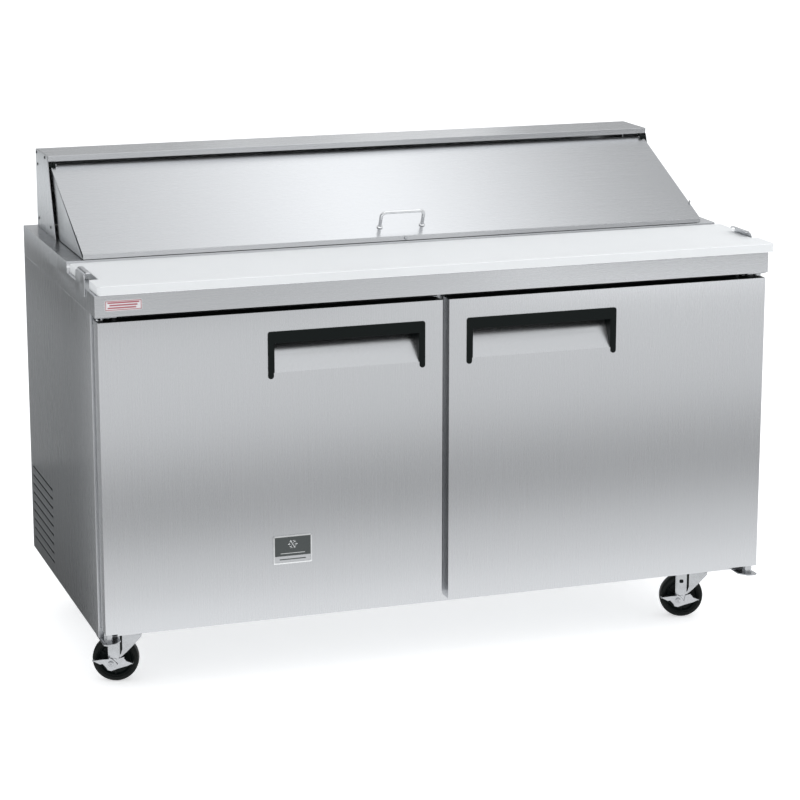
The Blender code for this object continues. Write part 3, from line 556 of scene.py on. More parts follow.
def fasteners():
    """Rivets and screws of the hood, the brackets, the lid's cheeks and the back."""
    end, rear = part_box("hood_end_right")[1].x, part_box("hood_cover")[1].y
    skirt = 0.7650
    rivets = new()
    for side, _ in SIDES:
        for y, z in ((0.207, 0.9245), (0.340, 0.925), (0.340, 1.050), (0.255, 1.0765), (0.349, 1.0765)):
            add_dome(rivets, (side * end, y, z), (side, 0, 0), 0.0036, 0.0015)
        for y, z in ((-0.253, 0.8760), (-0.212, 0.8750)):
            add_dome(rivets, (side * skirt, y, z), (side, 0, 0), 0.0026, 0.0012)
    for z in (0.925, 1.061):
        for x in (-0.70, -0.42, -0.14, 0.14, 0.42, 0.70):
            add_dome(rivets, (x, rear, z), (0, 1, 0), 0.0036, 0.0015)
        for x in (-0.728, 0.728):
            add_dome(rivets, (x, rear, z), (0, 1, 0), 0.0036, 0.0030)
    # The hood's rivets take the near-black enamel look so that they read as dark dots: painted shade on real
    # rivets.
    piece("hood_rivets", rivets, "enamel", "cabinet", "zinc_plate", smooth=50)
    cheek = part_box("lid_panel")[1].x
    rivets = new()
    for side, _ in SIDES:
        add_dome(rivets, (side * cheek, -0.043, 0.944), (side, 0, 0), 0.0034, 0.0015)
    piece("lid_rivets", rivets, "zinc", "lid", "zinc_plate", smooth=50)
    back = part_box("back_panel")[1].y - 0.0002
    places = [(x, z) for x in (-0.735, -0.52, -0.26, 0.0, 0.26, 0.52, 0.735) for z in (0.150, 0.815)]
    places += [(x, z) for x in (-0.735, 0.735) for z in (0.30, 0.47, 0.64)]
    screws = new()
    for x, z in places:
        add_dome(screws, (x, back, z), (0, 1, 0), 0.0038, 0.0012)
    piece("back_screws", screws, "zinc", "cabinet", "zinc_plate", smooth=50)


def bracket_hooks():
    """Curled tops of the two brackets, over the ends of the board's notches."""
    plate, foot, curl, rise, reach, sheet = 0.7655, 0.9060, 0.0060, 0.0062, 0.0125, 0.0014
    ends = (-0.286, -0.210)
    for side, word in SIDES:
        inner = side * plate
        profile = []
        for step in range(7):
            angle = math.pi / 2 * step / 6
            profile.append((inner - side * curl * (1 - math.cos(angle)), foot + rise * math.sin(angle)))
        profile.append((inner - side * reach, foot + rise))
        bm = new()
        rows = []
        for y in (ends[0], -0.283, -0.276, -0.220, -0.213, ends[1]):
            droop = 0.0030 if y in ends else 0.0
            rows.append([bm.verts.new((x, y, z - droop * (z > foot + 0.001))) for x, z in profile])
        join_rows(bm, rows)
        bmesh.ops.recalc_face_normals(bm, faces=bm.faces)
        bmesh.ops.solidify(bm, geom=bm.faces[:], thickness=sheet)
        piece(f"bracket_hook_{word}", bm, "level", "cabinet", "stainless", smooth=50)
        # A thin black box along the slit beside the bracket: painted shade in the slit.
        slit_shade = add_box(new(), (side * 0.7650, -0.2812, 0.861), (inner, -0.2788, 0.889), 0.0001)
        piece(f"bracket_slit_shade_{word}", slit_shade, "black", "cabinet", "black_plastic")


def label_plate():
    """A small white label with a red rim and plain red bars, on the nosing's left end."""
    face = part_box("countertop")[0].y
    low, high = (-0.744, 0.8465), (-0.666, 0.8685)
    paper, ink = face - 0.0003, face - 0.0005
    bm = add_prism(new(), rounded(low, high, 0.002), "Y", face, paper)
    piece("front_label", bm, "label_white", "cabinet", "stainless")
    rim, inset, margin, bar_height, pitch = 0.0014, 0.0012, 0.0045, 0.0030, 0.0054
    left, bottom = low[0] + inset, low[1] + inset
    right, top = high[0] - inset, high[1] - inset
    bars = [
        (left, bottom, right, bottom + rim),
        (left, top - rim, right, top),
        (left, bottom, left + rim, top),
        (right - rim, bottom, right, top),
    ]
    width = right - left - 2 * margin
    for row, (start, end) in enumerate(((0.0, 1.0), (0.06, 0.94), (0.0, 0.90))):
        base = bottom + 0.0034 + pitch * (2 - row)
        bars.append((left + margin + width * start, base, left + margin + width * end, base + bar_height))
    bm = new()
    for x_from, z_from, x_to, z_to in bars:
        add_box(bm, (x_from, paper, z_from), (x_to, ink, z_to))
    piece("front_label_print", bm, "label_red", "cabinet", "stainless")


def gap_shade_strips():
    """Black strips on the frame above and below the doors, where the gaps round each door show them: painted shade
    in those gaps.
    """
    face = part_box("front_frame")[0].y
    # Placed only where the gaps are, near black, as painted shade.
    strips = ((0.004, 0.712, 0.8215, 0.8336), (0.724, 0.750, 0.1310, 0.1500))
    bm = new()
    for side, _ in SIDES:
        for near, far, bottom, top in strips:
            left, right = sorted((side * near, side * far))
            add_box(bm, (left, face - 0.0006, bottom), (right, face, top), 0.0002)
    piece("frame_gap_shade", bm, "gasket", "cabinet", "black_plastic")


# ---------------------------------------------------------------- doors


def doors():
    """Each door's skin and lining, its trim and gasket, and a black strip on its top as painted shade of the gap
    above it.
    """
    for _, word in SIDES:
        body = "door_" + word
        refine(body + "_skin", "upright", 0.0012, 3, angle=20.0)
        refine(body + "_inner", "white", 0.0030, 3)
        pull_trim(body)
        gasket(body)
        low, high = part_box(body + "_skin")
        # A thin black strip along the door's top edge: painted shade of the gap over the door.
        start, end = (low.x + 0.002, low.y + 0.0022, high.z), (high.x - 0.002, high.y, high.z + 0.0005)
        piece(body + "_top_gap_shade", add_box(new(), start, end, 0.0002), "black", body, "black_plastic")
    badge()


def pull_trim(body):
    """The dark trim: a rounded U on the door's face and cheeks that line the ends and top of the scoop."""
    node = body + "_pull_trim"
    low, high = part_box(node)
    front, back = low.y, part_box(body + "_skin")[0].y
    leg, bar, corner, lip = 0.0125, 0.025, 0.0055, 0.0006
    inner_top = high.z - bar
    scoop_bottom, scoop_turn, scoop_top = 0.6905, 0.7510, 0.7645
    face, deep = front + lip, back + 0.0345 - lip
    tip = leg / 2
    outline = []
    for start in (low.x, high.x - leg):
        foot = arc((start + tip, low.z + tip), tip, 180, 180, 8)
        if start == low.x:
            outline += foot + [(start + leg, inner_top)]
        else:
            outline += [(start, inner_top)] + foot
    for centre_x, first in ((high.x - corner, 0), (low.x + corner, 90)):
        outline += arc((centre_x, high.z - corner), corner, first, 90, 5)
    bm = add_prism(new(), outline, "Y", front, back - 0.0001)
    rim = [edge for edge in bm.edges if all(abs(vert.co.y - front) < 1e-6 for vert in edge.verts)]
    round_edges(bm, rim, lip, 3)
    slope = ((face, scoop_bottom), (back, scoop_bottom), (deep, scoop_turn))
    slope += ((deep, scoop_top), (face, scoop_top))
    left, right = low.x + leg, high.x - leg
    for wall, inward in ((left, 1), (right, -1)):
        add_prism(bm, slope, "X", wall - inward * 0.0004, wall + inward * 0.0016)
    add_box(bm, (left, face, inner_top - 0.0002), (right, back + 0.0012, scoop_top), 0.0003)
    add_box(bm, (left, back + 0.0005, scoop_top - 0.0013), (right, deep, scoop_top + 0.0001), 0.0003)
    piece("look_" + node, bm, "black", body, "black_plastic", (node,))


def gasket(body):
    """A bellows gasket: two rounded folds and a magnet strip, run round the door with mitred corners."""
    node = body + "_gasket"
    low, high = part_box(node)
    width, depth = 0.0145, high.y - low.y
    section = (
        (0.0, 0.0), (0.0, 0.45), (0.06, 0.62), (0.0, 0.80), (0.05, 1.0), (0.62, 1.0),
        (0.70, 0.80), (0.60, 0.62), (0.86, 0.50), (1.0, 0.22), (0.92, 0.0),
    )
    bm = new()
    loops = []
    for across, through in section:
        left, right = low.x + across * width, high.x - across * width
        bottom, top = low.z + across * width, high.z - across * width
        corners = ((left, bottom), (right, bottom), (right, top), (left, top))
        loops.append([bm.verts.new((x, low.y + through * depth, z)) for x, z in corners])
    join_rings(bm, loops, closed=True)
    piece("look_" + node, bm, "gasket", body, "gasket", (node,), smooth=60)


def badge():
    """A plain plate: a bright rim, a dark field with a six-armed figure, and a bright strip below it."""
    low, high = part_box("door_badge")
    front, back = low.y, high.y
    rim = 0.0032
    outer = rounded((low.x, low.z), (high.x, high.z), 0.003)
    inner = rounded((low.x + rim, low.z + rim), (high.x - rim, high.z - rim), 0.0015)
    bm = new()
    rings = []
    for points, y in ((outer, back), (outer, front + 0.0006), (inner, front), (inner, front + 0.0014)):
        rings.append([bm.verts.new((x, y, z)) for x, z in points])
    join_rings(bm, rings)
    bm.faces.new(rings[0])
    bm.faces.new(rings[-1])
    piece("look_door_badge", bm, "chrome", "door_left", "galvanised", ("door_badge",))
    split, inset = low.z + 0.0175, rim + 0.0002

    def flat(name, look, slot, margin, bottom, top, deep, shallow):
        """A thin bar across the plate, margin from its ends and between two depths behind its front."""
        start, end = (low.x + margin, front + deep, bottom), (high.x - margin, front + shallow, top)
        piece(name, add_box(new(), start, end, 0.0002), look, "door_left", slot)

    flat("badge_field", "badge_dark", "black_plastic", inset, split, high.z - inset, 0.0014, 0.0007)
    flat("badge_strip", "level", "galvanised", inset, low.z + inset, split - 0.0004, 0.0014, 0.0006)
    centre = Vector(((low.x + high.x) / 2, front + 0.0007, split + (high.z - split) * 0.56))
    arm, fork, twig = 0.0105, 0.0062, 0.0036
    bm = new()
    for angle in spokes(6):
        add_tube(bm, (centre, centre + outward(angle) * arm), 0.0006, 6)
        start = centre + outward(angle) * fork
        for turn in (-1, 1):
            add_tube(bm, (start, start + outward(angle + turn * math.pi / 3) * twig), 0.0005, 6)
    piece("badge_figure", bm, "chrome", "door_left", "galvanised")
    flat("badge_line", "chrome", "galvanised", 0.016, split + 0.0050, split + 0.0064, 0.0012, 0.0005)
    flat("badge_bar", "badge_dark", "black_plastic", 0.014, low.z + 0.0088, low.z + 0.0112, 0.0010, 0.0004)


def hinges():
    """The hinge brackets, a washer on each lower pin, and the bolts and screws that hold the brackets."""
    for side, word in SIDES:
        for height in ("bottom", "top"):
            refine(f"hinge_bracket_{height}_{word}", "zinc", 0.0005)
        x, y = side * 0.750, -0.355
        washer = ((0.0054, 0.1486), (0.0092, 0.1486), (0.0092, 0.1497), (0.0054, 0.1497))
        bm = add_turned(new(), washer, (x, y, 0.0), (0, 0, 1), 32, closed=True)
        piece(f"hinge_washer_{word}", bm, "nylon", "cabinet", "white_plastic")
        bm = new()
        for bolt_x, bolt_y in ((0.737, -0.312), (0.755, -0.312)):
            add_hex(bm, (side * bolt_x, bolt_y, 0.1268), (0, 0, -1), 0.0042, 0.0034)
        for bolt_x in (0.728, 0.741):
            add_dome(bm, (side * bolt_x, -0.3322, 0.8205), (0, -1, 0), 0.0032, 0.0014)
        piece(f"hinge_bolts_{word}", bm, "zinc", "cabinet", "zinc_plate")


# ---------------------------------------------------------------- lid


PIVOT = Vector(JOINTS["lid_pivot"]["pos_m"])
SLOPE = Vector((0.0, 0.334, 0.148)).normalized()
OUTWARD = Vector((0.0, -SLOPE.z, SLOPE.y))


def on_lid(x, y, height=0.0):
    """A point over the lid's face at y, raised by height along the face's normal."""
    back = (y - PIVOT.y) / SLOPE.y
    return Vector((x, PIVOT.y, PIVOT.z)) + SLOPE * back + OUTWARD * height


def lean_lip(bm):
    """Leans the lid's front lip back by a few degrees, hinged along its lower edge."""
    front = min(vert.co.y for vert in bm.verts)
    for vert in bm.verts:
        if vert.co.y < front + 0.0004 and vert.co.z > 0.912:
            vert.co.y += 0.0018


def lid_bushes_shade():
    """Black bushes round the lid's ears, and sleeves on the hood's pins between the bushes and the ends; their
    black also serves as painted shade in the gap at the pivot.
    """
    rings = (
        ("lid_bush_shade_", "lid", 0.7172, 0.0043, 0.0086, 0.0060),
        ("pivot_sleeve_shade_", "cabinet", 0.7234, 0.0041, 0.0058, 0.0096),
    )
    # Real bushes and sleeves, made black partly as painted shade at the pivot.
    for name, body, start, inner, outer, length in rings:
        for side, word in SIDES:
            profile = ((inner, 0.0), (outer, 0.0), (outer, length), (inner, length))
            near = Vector((side * start, PIVOT.y, PIVOT.z))
            bm = add_turned(new(), profile, near, (side, 0, 0), 32, closed=True)
            piece(name + word, bm, "black", body, "black_plastic")


def lid():
    """The lid's shell and lining, its wire handle with two collars, and the stud on its lip."""
    lid_bushes_shade()
    refine("lid_panel", "level", 0.0005, 2, reshape=lean_lip)
    refine("lid_liner", "white", 0.0030, 3)
    start, end, foot, height, bend, radius = -0.0455, 0.0545, -0.0665, 0.0375, 0.011, 0.0037
    root = -0.0004
    route = [on_lid(start, foot, root)]
    for corner, first in ((start + bend, 180), (end - bend, 90)):
        route += [on_lid(x, foot, rise) for x, rise in arc((corner, height - bend), bend, first, -90, 8)]
    route.append(on_lid(end, foot, root))
    bm = add_tube(new(), route, radius, 20)
    collar = ((0.0066, -0.0003), (0.0066, 0.0010), (0.0052, 0.0022), (0.0036, 0.0026))
    for x in (start, end):
        add_turned(bm, collar, on_lid(x, foot), OUTWARD, 28)
    piece("look_lid_handle", bm, "chrome", "lid", "zinc_plate", ("lid_handle",), smooth=45)
    stud = ((0.0034, 0.0), (0.0034, 0.0016), (0.0026, 0.0030), (0.0012, 0.0036), (0.0, 0.0037))
    place = (0.0035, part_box("lid_panel")[0].y + 0.0001, 0.9095)
    bm = add_turned(new(), stud, place, (0, -1, 0), 24)
    piece("lid_stud", bm, "zinc", "lid", "zinc_plate", smooth=60)


# ---------------------------------------------------------------- pans, shelves and the inside


def food_pans():
    """Pressed pans: a flat rim with a rolled edge, round corners and walls that lean in."""
    rim, wall, lean, fillet = 0.012, 0.0012, 0.010, 0.012
    for node in PANS:
        low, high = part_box(node)
        top = high.z
        outside = [
            (rim + lean + 0.011, low.z, 0.012),
            (rim + lean + 0.003, low.z + 0.003, 0.016),
            (rim + lean, low.z + 0.010, 0.019),
            (rim + 0.0042, top - 0.0235, 0.021),
            (rim + 0.0030, top - 0.0190, 0.021),
            (rim, top - 0.0125, 0.022),
            (rim, top - 0.0020, 0.021),
        ]
        edge = [(0.0004, top - 0.0019, 0.012), (0.0, top - 0.0012, 0.012)]
        edge += [(0.0004, top - 0.0003, 0.012), (0.0014, top, 0.012)]
        inside = [
            (rim - 0.0006, top, 0.020),
            (rim + wall, top - 0.0012, 0.022),
            (rim + wall + 0.001, top - 0.012, 0.022),
            (rim + wall + 0.0035, top - 0.018, 0.022),
            (rim + wall + 0.0045, top - 0.022, 0.021),
        ]
        for step in range(1, 6):
            turn = math.radians(90 * step / 5)
            inset = rim + lean + wall + fillet * (1 - math.cos(turn)) - 0.001
            inside.append((inset, low.z + wall + fillet * (1 - math.sin(turn)), 0.019 - 0.006 * step / 5))
        bm = new()
        rings = []
        for inset, z, radius in outside + edge + inside:
            points = rounded((low.x + inset, low.y + inset), (high.x - inset, high.y - inset), radius, 6)
            rings.append([bm.verts.new((x, y, z)) for x, y in points])
        join_rings(bm, rings)
        bm.faces.new(rings[0])
        bm.faces.new(rings[-1])
        piece("look_" + node, bm, "pan", "cabinet", "stainless", (node,), smooth=50)


def wire_shelves():
    """Coated wire: a thick rim, thin wires from front to back, and two cross wires under them."""
    thick, thin, cross, count = 0.0028, 0.0013, 0.0018, 38
    for _, word in SIDES:
        low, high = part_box("shelf_" + word)
        middle, top = (low.z + high.z) / 2, high.z - thin
        corners = rounded((low.x + thick, low.y + thick), (high.x - thick, high.y - thick), 0.012, 4)
        bm = new()
        add_tube(bm, [(x, y, middle) for x, y in corners], thick, 10, closed=True)
        side_view = (
            (low.y + 0.0015, middle - 0.001),
            (low.y + 0.003, top),
            (high.y - 0.003, top),
            (high.y - 0.0015, middle - 0.001),
        )
        for index in range(1, count):
            x = low.x + (high.x - low.x) * index / count
            add_tube(bm, [(x, y, z) for y, z in side_view], thin, 6)
        under = high.z - 3.4 * thin
        for share in (0.33, 0.67):
            y = low.y + (high.y - low.y) * share
            add_tube(bm, ((low.x + thick, y, under), (high.x - thick, y, under)), cross, 8)
        piece("look_shelf_" + word, bm, "zinc", "cabinet", "zinc_plate", ("shelf_" + word,), smooth=60)


def shelf_supports():
    """Slotted strips on the lining with bent clips under the shelves, and an upright between them."""
    strips, clips = new(), new()
    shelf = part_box("shelf_right")[0].z
    wall, slots, pitch = 0.7145, 24, 0.0222

    def beside(bm, y, half, near, far, bottom, top, round_by):
        """A box on the side wall, from near to far away from it."""
        add_box(bm, (side * (wall - near), y - half, bottom), (side * (wall - far), y + half, top), round_by)

    for side, _ in SIDES:
        for y in (-0.262, 0.030):
            beside(strips, y, 0.010, 0.0, 0.0014, 0.215, 0.760, 0.0004)
            for step in range(slots):
                z = 0.228 + step * pitch
                beside(strips, y, 0.0045, 0.0012, 0.0018, z, z + 0.006, 0.0002)
            beside(clips, y, 0.008, 0.001, 0.014, shelf - 0.0125, shelf - 0.0110, 0.0004)
            beside(clips, y, 0.008, 0.0125, 0.014, shelf - 0.0125, shelf - 0.0006, 0.0004)
    add_box(strips, (-0.012, 0.176, 0.3940), (0.012, 0.192, shelf - 0.0012), 0.0008)
    add_box(strips, (-0.012, -0.287, 0.440), (0.012, -0.2895, shelf - 0.0012), 0.0006)
    for y in (-0.275, 0.184):
        add_box(clips, (-0.030, y - 0.008, shelf - 0.0022), (0.030, y + 0.008, shelf - 0.0006), 0.0004)
    piece("shelf_strips", strips, "level", "cabinet", "stainless")
    piece("shelf_clips", clips, "zinc", "cabinet", "zinc_plate")


def evaporator():
    """The evaporator's housing with its wire fan guard, black boxes for its slots as painted shade, and fan."""
    refine("evaporator_housing", "white", 0.0035, 3)
    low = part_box("evaporator_housing")[0]
    centre = Vector(JOINTS["evaporator_fan_spin"]["pos_m"])
    wire, face = 0.0011, low.y - 0.0016
    middle = Vector((centre.x, face, centre.z))
    guard = new()
    for radius in (0.080, 0.066, 0.052, 0.038, 0.024):
        add_tube(guard, [middle + outward(angle) * radius for angle in spokes(48)], wire, 6, closed=True)
    hub = middle + Vector((0, 0.0012, 0))
    for angle in spokes(4, 0.5):
        add_tube(guard, (hub + outward(angle) * 0.020, hub + outward(angle) * 0.084), wire, 6)
    piece("evaporator_guard", guard, "zinc", "cabinet", "zinc_plate", smooth=60)
    near, far, front, back = 0.105, 0.168, low.y - 0.0006, low.y + 0.0008
    # Black boxes on the housing's face: painted shade for the slots' openings.
    slot_shade_boxes = new()
    for side, _ in SIDES:
        for row in range(7):
            z = low.z + 0.030 + row * 0.0235
            add_box(slot_shade_boxes, (side * near, front, z), (side * far, back, z + 0.010), 0.0003)
    piece("evaporator_slots", slot_shade_boxes, "black", "cabinet", "black_plastic")
    fan_blades("evaporator_fan", centre, Vector((0, -1, 0)), 0.020, 0.070, 5, "black", "black_plastic")


def fan_blades(node, centre, axis, hub_radius, reach, count, look, slot):
    """Swept, twisted blades round a domed hub, in the space of the CAD fan."""
    low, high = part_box(node)
    start, end = sorted((axis.dot(low), axis.dot(high)))
    length = end - start
    base = centre + axis * (start - axis.dot(centre))
    hub = (
        (0.0, 0.0), (hub_radius, 0.0), (hub_radius, length * 0.72),
        (hub_radius * 0.86, length * 0.90), (hub_radius * 0.5, length * 0.98), (0.0, length),
    )
    bm = add_turned(new(), hub, base, axis, 32)
    turn = frame_along(axis)
    root, middle, spans = hub_radius * 0.92, length * 0.45, 8
    for first in spokes(count):
        rows = []
        for step in range(spans + 1):
            share = step / spans
            radius = root + (reach - root) * share
            half = 0.42 - 0.06 * share + 0.10 * math.sin(math.pi * share)
            pitch = length * (0.34 - 0.12 * share)
            row = []
            for cell in range(7):
                across = cell / 3 - 1
                angle = first + across * half + 0.25 * share
                rise = middle + across * pitch - 0.0012 * across * across
                point = Vector((radius * math.cos(angle), radius * math.sin(angle), rise))
                row.append(bm.verts.new(base + turn @ point))
            rows.append(row)
        bmesh.ops.solidify(bm, geom=join_rows(bm, rows), thickness=0.0014)
    piece("look_" + node, bm, look, BODY_OF[node], slot, (node,), smooth=60)


def thermostat():
    """A dial with a fluted skirt and a pointer, and tick marks round it on the housing."""
    low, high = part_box("thermostat_knob")
    centre = Vector(((low.x + high.x) / 2, high.y, (low.z + high.z) / 2))
    depth = high.y - low.y
    profile = (
        (0.0168, 0.0), (0.0168, 0.0030), (0.0150, 0.0042),
        (0.0132, depth * 0.80), (0.0118, depth * 0.90), (0.0, depth * 0.91),
    )
    bm = add_turned(new(), profile, centre, (0, -1, 0), 40)
    for angle in spokes(20):
        foot = centre + outward(angle) * 0.0146 - Vector((0, 0.0045, 0))
        crest = centre + outward(angle) * 0.0128 - Vector((0, depth * 0.80, 0))
        add_tube(bm, (foot, crest), 0.0008, 6)
    left, right, tip = centre.x - 0.0016, centre.x + 0.0016, centre.z + 0.0125
    add_box(bm, (left, low.y, centre.z), (right, low.y + 0.004, tip), 0.0005)
    node = "thermostat_knob"
    piece("look_" + node, bm, "black", node, "black_plastic", (node,), smooth=45)
    ticks = new()
    on_housing = Vector((centre.x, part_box("evaporator_housing")[0].y - 0.0002, centre.z))
    for mark in range(8):
        out = outward(math.radians(90 - mark * 270 / 7))
        far = 0.0235 if mark == 0 else 0.0225
        add_tube(ticks, (on_housing + out * 0.0195, on_housing + out * far), 0.0006, 6)
    piece("thermostat_ticks", ticks, "black", "cabinet", "black_plastic")


# ---------------------------------------------------------------- machine bay


def machine_bay():
    """What stands behind the louvres: condenser, fan, compressor, pipes and the power inlet."""
    condenser()
    centre = Vector(JOINTS["condenser_fan_spin"]["pos_m"])
    fan_blades("condenser_fan", centre, Vector((-1, 0, 0)), 0.022, 0.070, 4, "aluminium", "galvanised")
    compressor()
    inlet()


def condenser():
    """Fins on copper tubes behind the louvres, a shroud, and the motor on its post."""
    low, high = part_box("condenser")
    coil_back, count = low.x + 0.045, 56
    bm = new()
    for index in range(count):
        y = low.y + 0.004 + (high.y - low.y - 0.008) * index / (count - 1)
        add_box(bm, (low.x + 0.001, y - 0.0003, 0.1375), (coil_back, y + 0.0003, high.z - 0.002))
    piece("look_condenser_fins", bm, "aluminium", "cabinet", "galvanised", ("condenser",))
    bm = new()
    for row in range(7):
        z = 0.156 + row * 0.0262
        for x in (low.x + 0.012, low.x + 0.033):
            add_rod(bm, (x, low.y + 0.001, z), (x, high.y - 0.001, z), 0.0042, 12)
    piece("condenser_tubes", bm, "copper", "cabinet", "galvanised", smooth=60)
    centre_y, centre_z, opening = 0.246, 0.240, 0.076
    outer = rounded((low.y, 0.1355), (high.y, high.z), 0.006, 5)
    hole = [(centre_y + opening * math.cos(a), centre_z + opening * math.sin(a)) for a in spokes(48)]
    bm = new()
    walls = ([], [])
    for x in (coil_back + 0.001, low.x + 0.080):
        edges = []
        for wall, points in zip(walls, (outer, hole)):
            ring = [bm.verts.new((x, y, z)) for y, z in points]
            edges += [bm.edges.new(pair) for pair in zip(ring, ring[1:] + ring[:1])]
            wall.append(ring)
        bmesh.ops.triangle_fill(bm, edges=edges, use_beauty=True)
    for wall in walls:
        join_rings(bm, wall)
    add_box(bm, (low.x, low.y, low.z), (high.x, high.y, 0.1353), 0.0006)
    add_box(bm, (-0.606, centre_y - 0.012, 0.1345), (-0.594, centre_y + 0.012, centre_z), 0.0008)
    piece("condenser_shroud", bm, "galvanised", "cabinet", "galvanised", smooth=30)
    motor = (
        (0.0, 0.0), (0.010, 0.0), (0.024, 0.002), (0.030, 0.008),
        (0.030, 0.044), (0.026, 0.052), (0.0, 0.0545),
    )
    bm = add_turned(new(), motor, (-0.6150, centre_y, centre_z), (1, 0, 0), 36)
    piece("condenser_motor", bm, "enamel", "cabinet", "black_enamel", smooth=50)


def compressor():
    """A welded can with a terminal box, on a plate with four rubber feet, and the two copper pipes."""
    x, y = 0.330, 0.245
    can = (
        (0.0, 0.0), (0.052, 0.0), (0.066, 0.005), (0.073, 0.018), (0.074, 0.030), (0.074, 0.084),
        (0.0768, 0.087), (0.0770, 0.091), (0.0768, 0.095), (0.074, 0.098), (0.0735, 0.120),
        (0.0700, 0.140), (0.0620, 0.156), (0.0480, 0.167), (0.0280, 0.174), (0.0, 0.1759),
    )
    bm = add_turned(new(), can, (x, y, 0.146), (0, 0, 1), 56)
    add_box(bm, (x - 0.030, y - 0.100, 0.190), (x + 0.030, y - 0.066, 0.250), 0.004, 3)
    add_box(bm, (x - 0.095, y - 0.070, 0.144), (x + 0.095, y + 0.070, 0.148), 0.0015)
    piece("look_compressor", bm, "enamel", "cabinet", "black_enamel", ("compressor",), smooth=45)
    foot = (
        (0.0, 0.0), (0.011, 0.0), (0.011, 0.003), (0.008, 0.006),
        (0.011, 0.009), (0.011, 0.0118), (0.0, 0.0119),
    )
    feet = new()
    for foot_x in (-0.080, 0.080):
        for foot_y in (-0.055, 0.055):
            add_turned(feet, foot, (x + foot_x, y + foot_y, 0.1323), (0, 0, 1), 24)
    piece("compressor_feet", feet, "gasket", "cabinet", "gasket", smooth=50)
    suction = (
        (x - 0.060, y, 0.300), (x - 0.085, y, 0.312), (0.18, 0.30, 0.318), (0.06, 0.345, 0.322),
        (-0.20, 0.352, 0.320), (-0.50, 0.345, 0.318), (-0.655, 0.330, 0.315), (-0.700, 0.320, 0.312),
    )
    discharge = (
        (x - 0.064, y - 0.02, 0.250), (x - 0.095, y - 0.02, 0.262), (0.15, 0.20, 0.230), (0.02, 0.16, 0.180),
        (-0.25, 0.145, 0.165), (-0.50, 0.140, 0.160), (-0.640, 0.150, 0.158), (-0.700, 0.155, 0.156),
    )
    pipes = new()
    for route, radius in ((suction, 0.0040), (discharge, 0.0032)):
        add_tube(pipes, smooth_route(route, 40), radius, 12)
    piece("refrigerant_pipes", pipes, "copper", "cabinet", "galvanised", smooth=60)


def smooth_route(points, steps):
    """Points along a smooth curve through the given ones."""
    points = [Vector(p) for p in points]
    padded = [points[0] * 2 - points[1], *points, points[-1] * 2 - points[-2]]
    route = []
    spans = len(points) - 1
    for index in range(steps + 1):
        place = spans * index / steps
        span = min(int(place), spans - 1)
        t = place - span
        a, b, c, d = padded[span : span + 4]
        bend, twist = 2 * a - 5 * b + 4 * c - d, 3 * b - a - 3 * c + d
        route.append(0.5 * (2 * b + (c - a) * t + bend * t * t + twist * t**3))
    return route


def inlet():
    """The power inlet with its three pins and two screws."""
    refine("power_inlet", "black", 0.0008)
    low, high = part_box("power_inlet")
    bm = new()
    for x, z in ((0.611, 0.177), (0.629, 0.177), (0.620, 0.184)):
        add_box(bm, (x - 0.0013, 0.3585, z - 0.0026), (x + 0.0013, 0.3742, z + 0.0026), 0.0004)
    piece("inlet_pins", bm, "chrome", "cabinet", "zinc_plate")
    bm = new()
    for x in (0.5945, 0.6455):
        add_dome(bm, (x, high.y - 0.0013, 0.180), (0, 1, 0), 0.0024, 0.0012)
    piece("inlet_screws", bm, "zinc", "cabinet", "zinc_plate")


# ---------------------------------------------------------------- casters


TRAIL = 0.0375
AXLE = Vector(JOINTS["axle_front_left"]["pos_m"]).z


def caster_frame(word):
    """The matrix from a caster's own frame, with its swivel on Z and its trail along -X, to the table's."""
    swivel = Vector(JOINTS["swivel_" + word]["pos_m"])
    axle = Vector(JOINTS["axle_" + word]["axis"])
    across = Vector((axle.x, axle.y, 0.0)).normalized()
    forward = across.cross(Vector((0, 0, 1)))
    matrix = Matrix.Identity(4)
    matrix.col[0][:3] = forward
    matrix.col[1][:3] = across
    matrix.col[3][:3] = (swivel.x, swivel.y, 0.0)
    return matrix


def placed(bm, matrix):
    bmesh.ops.transform(bm, matrix=matrix, verts=bm.verts)
    return bm


def casters():
    for word in CASTERS:
        matrix = caster_frame(word)
        caster_top(word)
        caster_fork(word, matrix)
        caster_wheel(word, matrix)
        if "brake_" + word in JOINTS:
            caster_brake(word, matrix)


def caster_top(word):
    """The swivel plate and its four bolts."""
    node = "caster_plate_" + word
    refine(node, "zinc", 0.0006)
    low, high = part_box(node)
    middle = (low + high) / 2
    bm = new()
    for side_x in (-1, 1):
        for side_y in (-1, 1):
            centre = (middle.x + side_x * 0.038, middle.y + side_y * 0.0245, high.z - 0.0032)
            add_hex(bm, centre, (0, 0, -1), 0.0046, 0.0042)
    piece("caster_bolts_" + word, bm, "zinc", "cabinet", "zinc_plate")


def merge_rounded(bm, part, edges, width):
    """Rounds the given edges of a part and adds it to a mesh."""
    round_edges(part, edges, width, 2)
    copy = bpy.data.meshes.new("part")
    part.to_mesh(copy)
    part.free()
    bm.from_mesh(copy)
    bpy.data.meshes.remove(copy)


def leg_outline():
    """One leg of the fork from the side, in the caster's frame: wide at the bridge, round at the axle."""
    x, z = -TRAIL, AXLE
    front = [(0.0215, 0.1120), (0.0205, 0.1040), (0.0070, 0.0890), (-0.0110, 0.0700)]
    return front + arc((x, z), 0.0148, 28, -208, 12) + [(x - 0.0150, 0.0700), (x - 0.0150, 0.1120)]


